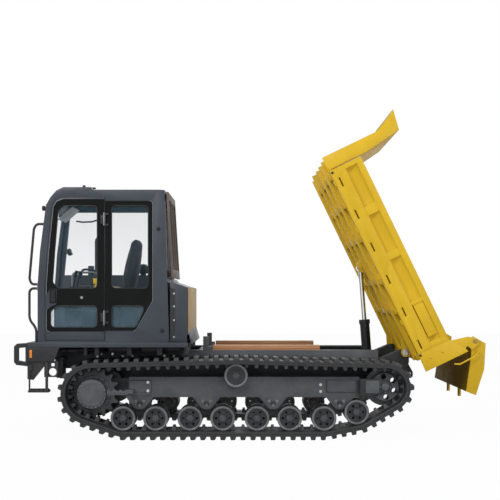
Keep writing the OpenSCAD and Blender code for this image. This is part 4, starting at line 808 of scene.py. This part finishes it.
railFoot = button(0.021, -0.006, 0.016, -0.009)
feet = joined(*[latheAt(railFoot, (-2.163, railSpec["y"], z), "X", 24) for z in railSpec["feet"]])
piece("rail_feet", feet, "greyTrim")

# rear post plugs, and a black plate in the gap between cab and tank housing: painted shade
plugShape = [(0, 0.002), (0.019, 0.002), (0.019, -0.006), (0.014, -0.012), (0, -0.014)]
postPlugs = joined(*[latheAt(plugShape, (x, -0.95, z), "Y", 24) for x, z in ((-0.938, 2.129), (-0.9, 1.095))])
piece("post_plugs", postPlugs, "blackPlastic")
gapShadeEdge = [(-0.8205, 0.982), (-0.77, 0.982), (-0.77, 1.512), (-0.8205, 1.536)]
piece("tank_strip", plateY(gapShadeEdge, -0.9616, -0.9596), "blackPaint")
singleBolts("tank_strip_bolts", [(-0.78, -0.9618, z) for z in (1.03, 1.2, 1.34, 1.47)], 0.007, 0.004, "-Y")

# reflectors and work lamps
reflector = (-2.235, -2.209, 1.0002, 1.0092, 0.821, 0.901, 0.003)
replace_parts(piece("reflectors", sideBlocks([reflector]), "amberLens"), "lamps")
lampY = (-0.908, 0.058)
lampBodies = [(-2.122, -2.095, y - 0.029, y + 0.029, 2.313, 2.361, 0.006) for y in lampY]
lampBodies += [(-2.099, -2.0825, y - 0.014, y + 0.014, 2.328, 2.346, 0.003) for y in lampY]
piece("work_lamps", blocks(*lampBodies), "blackPlastic")
lampFaces = [(-2.1235, -2.12, y - 0.023, y + 0.023, 2.319, 2.355, 0.001) for y in lampY]
piece("work_lamp_faces", blocks(*lampFaces), "lampGlass")

# roof details and wiper
knob = [(0, 0), (0.026, 0), (0.026, 0.01), (0.015, 0.016), (0.013, 0.03), (0, 0.033)]
roofBits = joined(latheAt(knob, (-1.711, -0.82, 2.55), "Z", 24), blocks(
    (-1.66, -1.6, -0.8, -0.74, 2.548, 2.562, 0.004),
    (-1.33, -1.205, -0.62, -0.44, 2.522, 2.546, 0.008),
    (-1.29, -1.245, -0.56, -0.5, 2.54, 2.556, 0.006)))
piece("roof_bits", roofBits, "blackPlastic")
roofRibs = [(-1.52, -0.96, y, y + 0.03, 2.5222, 2.53, 0.003) for y in (-0.86, -0.66, -0.4, -0.22, 0.02)]
piece("roof_ribs", blocks(*roofRibs), "slatePaint")
wiper = joined(
    latheAt(button(0.02, 0.022, 0.012, 0.03), (-2.193, -0.45, 1.47), "X", 20),
    pipe([(-2.175, -0.45, 1.47), (-2.182, -0.5, 1.62), (-2.142, -0.62, 1.98)], 0.05, 0.006, 8),
    tubeAlong([(-2.158, -0.6, 1.66), (-2.146, -0.62, 1.9), (-2.113, -0.64, 2.16)], 0.008, 8))
piece("wiper", wiper, "blackPlastic", smooth=60)

# inside the cab: dashboard, monitor, rails, safety lever, visor, liner, mat and pedals
dash = blocks(
    (-2.02, -1.9, -0.84, -0.02, 1.006, 1.46, 0.02),
    (-2.04, -1.93, -0.8, -0.06, 1.44, 1.53, 0.03),
    (-1.93, -1.66, -0.19, -0.05, 1.3, 1.56, 0.03),
    (-1.86, -1.55, -0.87, -0.76, 1.3, 1.5, 0.03))
piece("dash", dash, "blackPlastic")
screenTurn = Matrix.Rotation(radians(-18), 4, "Y")


def onScreen(x, y, z):
    return Vector((-1.985, -0.06, 1.925)) + screenTurn @ Vector((x, y * 0.5, z * 0.5))


screenBox = moved(block(-0.02, 0.02, -0.1, 0.1, -0.07, 0.07, 0.008), onScreen)
screenArm = tubeAlong([(-2.045, -0.02, 1.91), (-1.99, -0.06, 1.92)], 0.01, 10)
piece("monitor", joined(screenBox, screenArm), "blackPlastic")
piece("monitor_pane", moved(block(0.0195, 0.0215, -0.088, 0.088, -0.055, 0.055, 0.002), onScreen), "screenGlass")
sideRail = [(-1.935, -0.18, 1.55), (-1.935, -0.18, 1.7), (-1.66, -0.18, 1.7), (-1.66, -0.18, 1.55)]
tallRail = [(-1.648, -0.12, 1.52), (-1.648, -0.12, 2.06), (-1.56, -0.05, 2.09)]
cabRails = joined(pipe(sideRail, 0.05, 0.012), pipe(tallRail, 0.05, 0.011))
piece("cab_rails", cabRails, "greyTrim", smooth=60)
lockLever = joined(pipe([(-1.6, -0.76, 1.575), (-1.6, -0.76, 1.52), (-1.58, -0.77, 1.515)], 0.02, 0.009), blocks(
    (-1.646, -1.578, -0.78, -0.74, 1.569, 1.626, 0.008),
    (-1.609, -1.57, -0.79, -0.75, 1.505, 1.536, 0.01),
    (-1.435, -1.392, -0.72, -0.66, 1.508, 1.538, 0.01)))
piece("lock_lever", lockLever, "yellowPlastic")


def tilted(shape, cosine, sine, centre):
    cx, cy, cz = centre
    return moved(shape, lambda x, y, z: (cx + x * cosine - z * sine, cy + y, cz + x * sine + z * cosine))


visor = block(-0.1, 0.1, -0.22, 0.22, -0.008, 0.008, 0.006)
piece("visor", tilted(visor, cos(0.72), sin(0.72), (-1.925, -0.46, 2.305)), "paleTrim")
linerTube = [(-1.93, 0.052, 2.272), (-1.86, 0.052, 2.262), (-1.76, 0.052, 2.266), (-1.65, 0.052, 2.296)]
liner = joined(tubeAlong(linerTube, 0.009, 8), block(-2.02, -1.02, -0.88, -0.02, 2.452, 2.468, 0.006))
piece("roof_liner", liner, "blackPlastic", smooth=60)
pedal = block(-0.05, 0.05, -0.05, 0.05, -0.006, 0.006, 0.004)
pedals = [tilted(pedal, 0.8, 0.6, (-1.82, y, 1.075)) for y in (-0.54, -0.31)]
piece("floor_mat", joined(block(-2.1, -0.9, -0.89, 0.03, 1.0062, 1.012, 0.002), *pedals), "sealRubber")
print("cab fitted")

# seat: cover over foam, blown up as cloth

seatSpec = {"voxel": 0.012, "pressure": 4.0, "frames": 18, "cap": 0.016, "quality": 5, "over": 0.004}


def puffed(name, shape, body, node):
    cover = modified(meshOf(name, shape), "REMESH", {"mode": "VOXEL", "voxel_size": seatSpec["voxel"]})
    rest = [v.co.copy() for v in cover.vertices]
    draft = linked(name + "Draft", cover)
    cloth = draft.modifiers.new("cloth", "CLOTH")
    cloth.settings.use_pressure = True
    cloth.settings.uniform_pressure_force = seatSpec["pressure"]
    cloth.settings.effector_weights.gravity = 0
    cloth.settings.quality = seatSpec["quality"]
    cloth.point_cache.frame_start = 1
    cloth.point_cache.frame_end = seatSpec["frames"]
    for at in range(1, seatSpec["frames"] + 1):
        scene.frame_set(at)
    cover = evaluated(draft)
    bpy.data.objects.remove(draft)
    scene.frame_set(1)
    low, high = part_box(node)
    for v, was in zip(cover.vertices, rest):  # held near the foam and inside the solid's box
        go = v.co - was
        if go.length > seatSpec["cap"]:
            v.co = was + go * (seatSpec["cap"] / go.length)
        v.co = [min(max(c, a - seatSpec["over"]), b + seatSpec["over"]) for c, a, b in zip(v.co, low, high)]
    pad = finishMesh(name, cover, "seatCover", body, 60)
    smooth = pad.modifiers.new("smooth", "SUBSURF")
    smooth.levels = smooth.render_levels = 1
    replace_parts(pad, node)


def lofted(sections, up, steps=28, square=3.2):
    def eased(c):
        return copysign(abs(c) ** (2 / square), c)
    return skin([[Vector(place) + Vector((0, eased(c) * wide, 0)) + Vector(up) * eased(s) * thick for c, s in around(steps)]
                 for place, wide, thick in sections])


cushionLow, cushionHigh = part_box("seat_cushion")
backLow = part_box("seat_back")[0]
seatMid = (cushionLow.y + cushionHigh.y) / 2
padMiddle = cushionHigh.z - 0.062
x0, x1 = cushionLow.x + 0.012, cushionLow.x + 0.392
cushionRows = [(0, 0.03, 0.3), (0.04, 0.046, 0.8), (0.12, 0.05, 0.97), (0.26, 0.044, 1.0), (0.36, 0.043, 0.98),
               (0.38, 0.03, 0.9)]
cushion = lofted([((x0 + t, seatMid, padMiddle), 0.222 * wide, tall) for t, tall, wide in cushionRows], (0, 0, 1))
puffed("seat_pad", cushion, "seat", "seat_cushion")
pivot = Vector((backLow.x + 0.032, seatMid, backLow.z + 0.036))
backRows = [(0.01, -0.022, 0.03, 0.82), (0.02, 0.045, 0.046, 0.96), (0.036, 0.15, 0.058, 1.0), (0.06, 0.28, 0.057, 0.98),
            (0.083, 0.4, 0.051, 0.88), (0.096, 0.47, 0.045, 0.66), (0.107, 0.54, 0.042, 0.6), (0.115, 0.578, 0.026, 0.5)]
rise = Vector((0.175, 0, 0.985)).normalized()
backrest = lofted([(pivot + Vector((x, 0, z)), 0.206 * wide, thick) for x, z, thick, wide in backRows], (rise.z, 0, -rise.x))
puffed("seat_backrest", backrest, "seat_back", "seat_back")
pan = blocks((x0 + 0.02, x1 + 0.03, seatMid - 0.205, seatMid + 0.205, cushionLow.z, cushionLow.z + 0.03, 0.006),
             *[(x1 - 0.05, x1 + 0.075, y - 0.006, y + 0.006, cushionLow.z + 0.024, cushionLow.z + 0.108, 0.004)
               for y in (seatMid - 0.234, seatMid + 0.234)])
piece("seat_pan", pan, "blackPlastic", "seat")
print("seat covered")

# solids with their sharp edges rounded off

edgeWidths = {
    "cab_frame": 0.009, "door_frame": 0.004, "platform": 0.006, "front_guard": 0.004, "front_steps": 0.002,
    "tank_housing": 0.006, "engine_hood": 0.014, "access_door": 0.004, "dump_bed": 0.003, "tailgate": 0.003,
    "main_frame": 0.004, "hinge_frame": 0.004, "track_frame_left": 0.005, "track_frame_right": 0.005, "bogie_arms": 0.006,
    "idler_yokes": 0.005, "bed_sills": 0.004, "rear_guard": 0.003, "console": 0.012, "seat_base": 0.01,
    "sprocket_left": 0.003, "sprocket_right": 0.003, "engine": 0.01,
}
hingeBlack = [((-1.535, -1.1, z0), (-1.455, -0.9525, z1), (0, 0, 0), "blackPaint") for z0, z1 in ((1.12, 1.34), (2.14, 2.31))]
# the tailgate's inner faces, turned towards the hinge, take the near-black yellow as painted shadow
gateInsideShadow = [((1.5, -0.9, 0.2), (2.35, 0.9, 1.2), (-1, 0, -0.15), "bedDark")]
patches = {"door_frame": hingeBlack, "cab_frame": hingeBlack, "tailgate": gateInsideShadow}
for node, width in edgeWidths.items():
    softened(node, width, patches.get(node, ()))
print("edges rounded on", len(edgeWidths), "solids")

# wheels: bolt rings, rims and hub caps, one set for each wheel body

wheelSpec = {
    "lip": [(0.027, 0), (0.0015, 0), (0.0015, 0.009), (0.004, 0.012), (0.016, 0.012), (0.02, 0.009), (0.024, 0.009),
            (0.027, 0.005)],  # inset from the rim, height
    "hub": [(0, 0), (0.03, 0), (0.03, 0.006), (0.026, 0.01), (0.019, 0.01), (0.017, 0.006), (0.012, 0.006),
            (0.01, 0.009), (0, 0.009)],
    "face": [(0.036, 0), (0.09, 0), (0.09, 0.003), (0.064, 0.003), (0.062, 0.007), (0.052, 0.007), (0.05, 0.003),
             (0.036, 0.003)],
    "cap": [(0, 0), (0.118, 0), (0.116, 0.002), (0.104, 0.002), (0.102, 0.0005), (0, 0.0005)],
    "shield": [(0, 0), (0.25, 0), (0.256, 0.002), (0.25, 0.004), (0, 0.004)],
    "roller": 0.126, "carrier": 0.12, "plugRing": 0.07,
}
outFace = {  # Y of the faces that carry the pieces, counted outwards
    "driveCover": 1.0735, "driveFlange": 0.8955, "driveCap": 1.085, "shield": 0.7, "roller": 0.9805, "rim": 0.9795,
    "carrier": 0.98, "idlerBolts": 0.9825, "idler": 0.982, "beam": 0.9195, "cover": 0.9255,
}
for sideName, side, way in bothSides:
    def onSide(spot, face):
        return (spot[0], side * outFace[face], spot[1])

    def turned(profile, spot, face, sides, ring=False):
        return latheAt(profile, onSide(spot, face), "Y", sides, side, ring)

    body = "sprocket_" + sideName
    bolts("drive_bolts_" + sideName, [onSide(driveSpot, "driveCover")], 0.136, 20, 0.0066, 0.005, way, body, "rimSteel")
    bolts("drive_flange_bolts_" + sideName, [onSide(driveSpot, "driveFlange")], 0.16, 16, 0.009, 0.008, way, body, "wheelCast")
    reach = wheelSpec["plugRing"]
    plugSpots = [(driveSpot[0] + reach * cos(a), driveSpot[1] + reach * sin(a)) for a in (0.6, 2.2, 4.4)]
    plugs = [turned(button(0.013, 0.006, 0.008, 0.008), spot, "driveCap", 6) for spot in plugSpots]
    piece("drive_cap_" + sideName, joined(*plugs, turned(wheelSpec["cap"], driveSpot, "driveCap", 48)), "wheelCast", body)
    wheels = [("roller_%s_%d" % (sideName, i + 1), spot, wheelSpec["roller"]) for i, spot in enumerate(axleSpots)]
    for body, spot, r in wheels + [("carrier_roller_" + sideName, carrierSpot, wheelSpec["carrier"])]:
        bolts(body + "_bolts", [onSide(spot, "roller")], 0.035, 6, 0.0042, 0.004, way, body, "wheelCast")
        lip = turned([(r - inset, t) for inset, t in wheelSpec["lip"]], spot, "rim", 48, True)
        piece(body + "_lip", lip, "rimSteel", body, smooth=30)
        if body.startswith("carrier"):  # the upper roller has a closed face with rings
            # its ring face is near-black, painted shade as in the roller dishes
            piece(body + "_face", turned(wheelSpec["face"], spot, "carrier", 48, True), "wheelDark", body, smooth=30)
        piece(body + "_hub", turned(wheelSpec["hub"], spot, "roller", 32), "wheelCast", body, smooth=30)
    piece("drive_shield_" + sideName, turned(wheelSpec["shield"], driveSpot, "shield", 48), "blackPaint")
    bolts("idler_bolts_" + sideName, [onSide(idlerSpot, "idlerBolts")], 0.052, 4, 0.007, 0.006, way, material="wheelCast")
    boss = turned(button(0.036, 0.008, 0.03, 0.012), idlerSpot, "idler", 32)
    slab = sideBlocks([(1.16, 1.295, 0.982, 0.99, 0.462, 0.59, 0.006)], [side])
    piece("idler_caps_" + sideName, joined(boss, slab), "wheelCast")
    pivotSpots = [onSide((x + dx, 0.35 + dz), "beam") for x in trackSpec["bogies"]
                  for dx, dz in ((-0.04, 0.026), (0.04, 0.026), (0, -0.02))]
    singleBolts("pivot_bolts_" + sideName, pivotSpots, 0.012, 0.007, way, "rimSteel")
    seams = []
    for xa, xb in ((-1.247, -1.012), (0.765, 1.07)):  # cover plates on the beam, seen by their joints
        seams += [(xa, xb, 0.919, 0.9265, z, z + 0.004, 0.0005) for z in (0.466, 0.588)]
        seams += [(x, x + 0.004, 0.919, 0.9265, 0.466, 0.592, 0.0005) for x in (xa, xb)]
    piece("cover_seams_" + sideName, sideBlocks(seams, [side]), "blackPaint")
    coverSpots = [onSide(spot, "cover") for spot in ((-1.047, 0.568), (-1.047, 0.482))]
    coverSpots += [onSide(spot, "beam") for spot in ((0.708, 0.543), (0.708, 0.475))]
    singleBolts("cover_bolts_" + sideName, coverSpots, 0.011, 0.006, way)
print("wheels bolted")

# behind the cab and on the hood: stone guard, louvres, latch and exhaust

piece("stone_guard", block(-0.6375, -0.6335, -0.946, 0.756, 1.056, 1.532, 0.0015), "tanPaint")
guardBolts = [(-0.6335, y, z) for y in (-0.9, -0.45, 0, 0.36, 0.7) for z in (1.09, 1.5)]
singleBolts("stone_guard_bolts", guardBolts, 0.01, 0.004, "+X")
hoodMiddle = (hoodLow.y + hoodHigh.y) / 2
slats = [  # name, first slat, count, step, size, tilt, finish
    ("hood_louvres", (hoodLow.x + 0.22, hoodHigh.y - 0.004, 1.14), 10, 0.034, (0.3, 0.014, 0.012), (0.5, 0, 0), "slatePaint"),
    ("hood_grille", (hoodLow.x + 0.002, hoodMiddle, 1.1), 12, 0.034, (0.012, 0.6, 0.01), (0, 0.5, 0), "blackPaint"),
    ("tank_louvres", (-0.735, 0.7715, 1.1), 8, 0.04, (0.11, 0.012, 0.012), (0.5, 0, 0), "slatePaint"),
]
for name, spot, count, step, size, tilt, material in slats:
    values = {"Count": count, "Step": (0, 0, step), "Size": size, "Tilt": tilt}
    runTree(slatRow, name, [spot], values, material, "chassis")
accessLow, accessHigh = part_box("access_door")
latchX, latchY = accessLow.x + 0.05, accessHigh.y
latchLoop = [(latchX, latchY + out, z) for out, z in ((-0.004, 1.28), (0.022, 1.28), (0.022, 1.32), (-0.004, 1.32))]
latchPlate = block(latchX - 0.02, latchX + 0.06, latchY - 0.012, latchY + 0.004, 1.27, 1.33, 0.004)
piece("access_latch", joined(latchPlate, pipe(latchLoop, 0.01, 0.005, 8)), "blackPlastic", "access_door")
outlet = [(0, 0), (0.055, 0), (0.055, 0.012), (0.036, 0.016), (0.036, 0.155), (0.03, 0.155), (0.03, 0.02), (0, 0.02)]
exhaust = joined(latheAt(outlet, (-1.86, 0.7, hoodHigh.z), "Z", 28),
                 block(-1.62, -1.4, 0.3, 0.76, hoodHigh.z - 0.002, hoodHigh.z + 0.01, 0.004))
piece("exhaust_outlet", exhaust, "blackPaint")
print("hood and guards fitted")

# chassis: pipe and boxes between platform and belts, clips, gussets and step teeth

underPipe = [(-1.93, -0.62, 0.888), (-1.93, -0.74, 0.888), (-1.7, -0.76, 0.886), (-1.52, -0.72, 0.888), (-1.52, -0.6, 0.89)]
under = joined(pipe(underPipe, 0.06, 0.021, 14), blocks(
    (-1.46, -1.24, -0.8, -0.6, 0.872, 0.924, 0.008),
    (-1.12, -0.9, -0.84, -0.62, 0.876, 0.924, 0.008),
    (-0.86, -0.72, -0.8, -0.62, 0.88, 0.924, 0.006)))
piece("under_pipes", under, "blackPaint", smooth=45)
railClips = [(x, x + 0.05, 0.588, 0.596, 0.705, 0.745, 0.003) for x in (-0.2, 0.2, 0.6, 1.0)]
piece("rail_clips", sideBlocks(railClips), "framePaint")
railBolts = ((-1.607, 0.811), (-1.568, 0.84), (-1.447, 0.838), (-1.341, 0.811), (-1.24, 0.811), (-0.907, 0.817),
             (-0.807, 0.814))
for sideName, side, way in bothSides:
    singleBolts("rail_bolts_" + sideName, [(x, side * 0.5905, z) for x, z in railBolts], 0.01, 0.006, way)
gussets = [(x, x + w, 0.66, 0.86, 0.838, 0.9245, 0.004)
           for x, w in ((-1.71, 0.034), (-1.6, 0.044), (-1.27, 0.052), (-0.96, 0.052), (-0.68, 0.03))]
piece("platform_gussets", sideBlocks(gussets), "framePaint")
teeth = [(-2.241 + k * 0.0215, -2.231 + k * 0.0215, 0.872, 0.999, 0.488, 0.504, 0.002) for k in range(9)]
piece("step_teeth", sideBlocks(teeth), "blackPaint")
cheekBoxes = [(-2.000, -1.932, 0.6, 0.8, 0.602, 0.8, 0.006), (-2.012, -1.922, 0.59, 0.81, 0.792, 0.812, 0.004)]
piece("cheek_boxes", sideBlocks(cheekBoxes), "blackPaint")
sillBolts = [(x, side * 0.551, 0.9325) for x in (-0.33, -0.05, 0.25, 0.6) for side in (-1, 1)]
singleBolts("sill_bolts", sillBolts, 0.01, 0.0012, "+Z")

# hoist: gland, ports and the hard pipe beside the barrel

hoistFoot = Vector((1.296, 0, 0.6))
hoistWay = (Vector((1.20733, 0, 1.75615)) - hoistFoot).normalized()
hoistSide = Vector((hoistWay.z, 0, -hoistWay.x))


def onHoist(x, y, z):
    return hoistFoot + hoistSide * x + Vector((0, y, 0)) + hoistWay * z


gland = [(0.0535, 0.54), (0.06, 0.54), (0.06, 0.584), (0.056, 0.5885), (0.027, 0.5885), (0.027, 0.575), (0.0535, 0.575)]
piece("hoist_gland", moved(latheAt(gland, (0, 0, 0), "Z", 36, ring=True), onHoist), "blackPaint", "hoist_barrel")
hardPipe = pipe([(0, -0.052, 0.515), (0, -0.076, 0.515), (0, -0.076, 0.13), (0, -0.052, 0.1)], 0.02, 0.008, 10)
ports = blocks((-0.018, 0.018, -0.07, -0.048, 0.498, 0.534, 0.004), (-0.018, 0.018, -0.066, -0.048, 0.085, 0.118, 0.004))
piece("hoist_pipe", moved(joined(hardPipe, ports), onHoist), "blackPaint", "hoist_barrel", smooth=60)

# bed: hooks, tabs with dark slot sheets above them as painted shadow, caps, plugs, seam beads and hinge ears; p runs up
# the floor, q away from it

bedSpec = {"tilt": radians(64.2), "hinge": (1.622, 0.857), "face": 0.95, "hooks": (0.3, 0.82, 1.34, 1.86),
           "caps": ((-0.12, 0.3), (-0.12, 0.16)), "plugs": ((2.000, 0.082), (-0.056, 0.08)),
           "beads": ((0.2215, 0.0028), (0.3465, 0.0028), (0.067, 0.0026)), "tabs": [k * 0.366 for k in range(6)]}


def onBed(p, y, q):
    c, s = cos(bedSpec["tilt"]), sin(bedSpec["tilt"])
    return (bedSpec["hinge"][0] - p * c + q * s, y, bedSpec["hinge"][1] + p * s + q * c)


def bedCaps(profile, spots, out, sides):
    return joined(*[latheAt(profile, onBed(p, side * out, q), "Y", sides, side) for p, q in spots for side in (-1, 1)])


hooks, beads = [], []
for side in (-1, 1):
    for p in bedSpec["hooks"]:
        hook = ((p, 0.948, 0.055), (p, 0.962, 0.055), (p + 0.05, 0.962, 0.05), (p + 0.05, 0.948, 0.055))
        hooks.append(pipe([(up, side * out, q) for up, out, q in hook], 0.01, 0.006, 8))
    for q, radius in bedSpec["beads"]:
        beads.append(tubeAlong([(-0.035 + k * 0.105, side * 0.9495, q) for k in range(20)], radius, 6))
piece("bed_fittings", moved(joined(*hooks), onBed), "bedPaint", "dump_bed", smooth=40)
tabs = [(p + 0.001, p + 0.097, 0.9402, 0.9492, 0.1045, 0.1155, 0.002) for p in bedSpec["tabs"]]
cover = (0.076, 0.468, 0.9085, 0.944, 0.234, 0.338, 0.004)
piece("bed_tabs", moved(sideBlocks(tabs + [cover]), onBed), "bedPaint", "dump_bed")
# thin near-black sheets above the tabs stand for the shaded slots: painted shadow
slotShadows = [(p + 0.001, p + 0.097, 0.9401, 0.9415, 0.116, 0.1315, 0.0004) for p in bedSpec["tabs"]]
piece("bed_slots", moved(sideBlocks(slotShadows), onBed), "bedDark", "dump_bed")
cap = [(0, 0), (0.011, 0), (0.011, 0.004), (0.00682, 0.005), (0.0066, 0.01), (0, 0.011)]
piece("bed_caps", bedCaps(cap, bedSpec["caps"], bedSpec["face"], 20), "bedPaint", "dump_bed")
plugCap = button(0.013, 0.004, 0.009, 0.006)
piece("bed_plugs", bedCaps(plugCap, bedSpec["plugs"], bedSpec["face"], 20), "blackPlastic", "dump_bed")
piece("bed_seams", moved(joined(*beads), onBed), "bedPaint", "dump_bed", smooth=60)
gatePin = [(0, 0), (0.022, 0), (0.022, 0.003), (0.013, 0.004), (0.012, 0.012), (0, 0.013)]
piece("gate_pin_caps", bedCaps(gatePin, [(-0.168, 0.647)], 0.9542, 24), "tanPaint", "tailgate")
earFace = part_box("hinge_frame")[1].y + 0.0008
earArc = [radians(a) for a in range(140, 321, 15)]
earEdge = [(0.145, 0.012), (0.145, 0.098), (-0.03, 0.098)] + [(0.05 * cos(a), 0.05 * sin(a)) for a in earArc]
ears = joined(*[plateY(earEdge, *sorted((side * earFace, side * (earFace + 0.009)))) for side in (-1, 1)])
piece("hinge_ears", moved(ears, onBed), "bedPaint", "dump_bed")
pinEnd = [(0, 0), (0.034, 0), (0.034, 0.005), (0.022, 0.007), (0.012, 0.007), (0.01, 0.003), (0, 0.003)]
piece("hinge_pin_ends", bedCaps(pinEnd, [(0, 0)], earFace + 0.0095, 36), "zincSteel")
print("bed and hoist dressed")
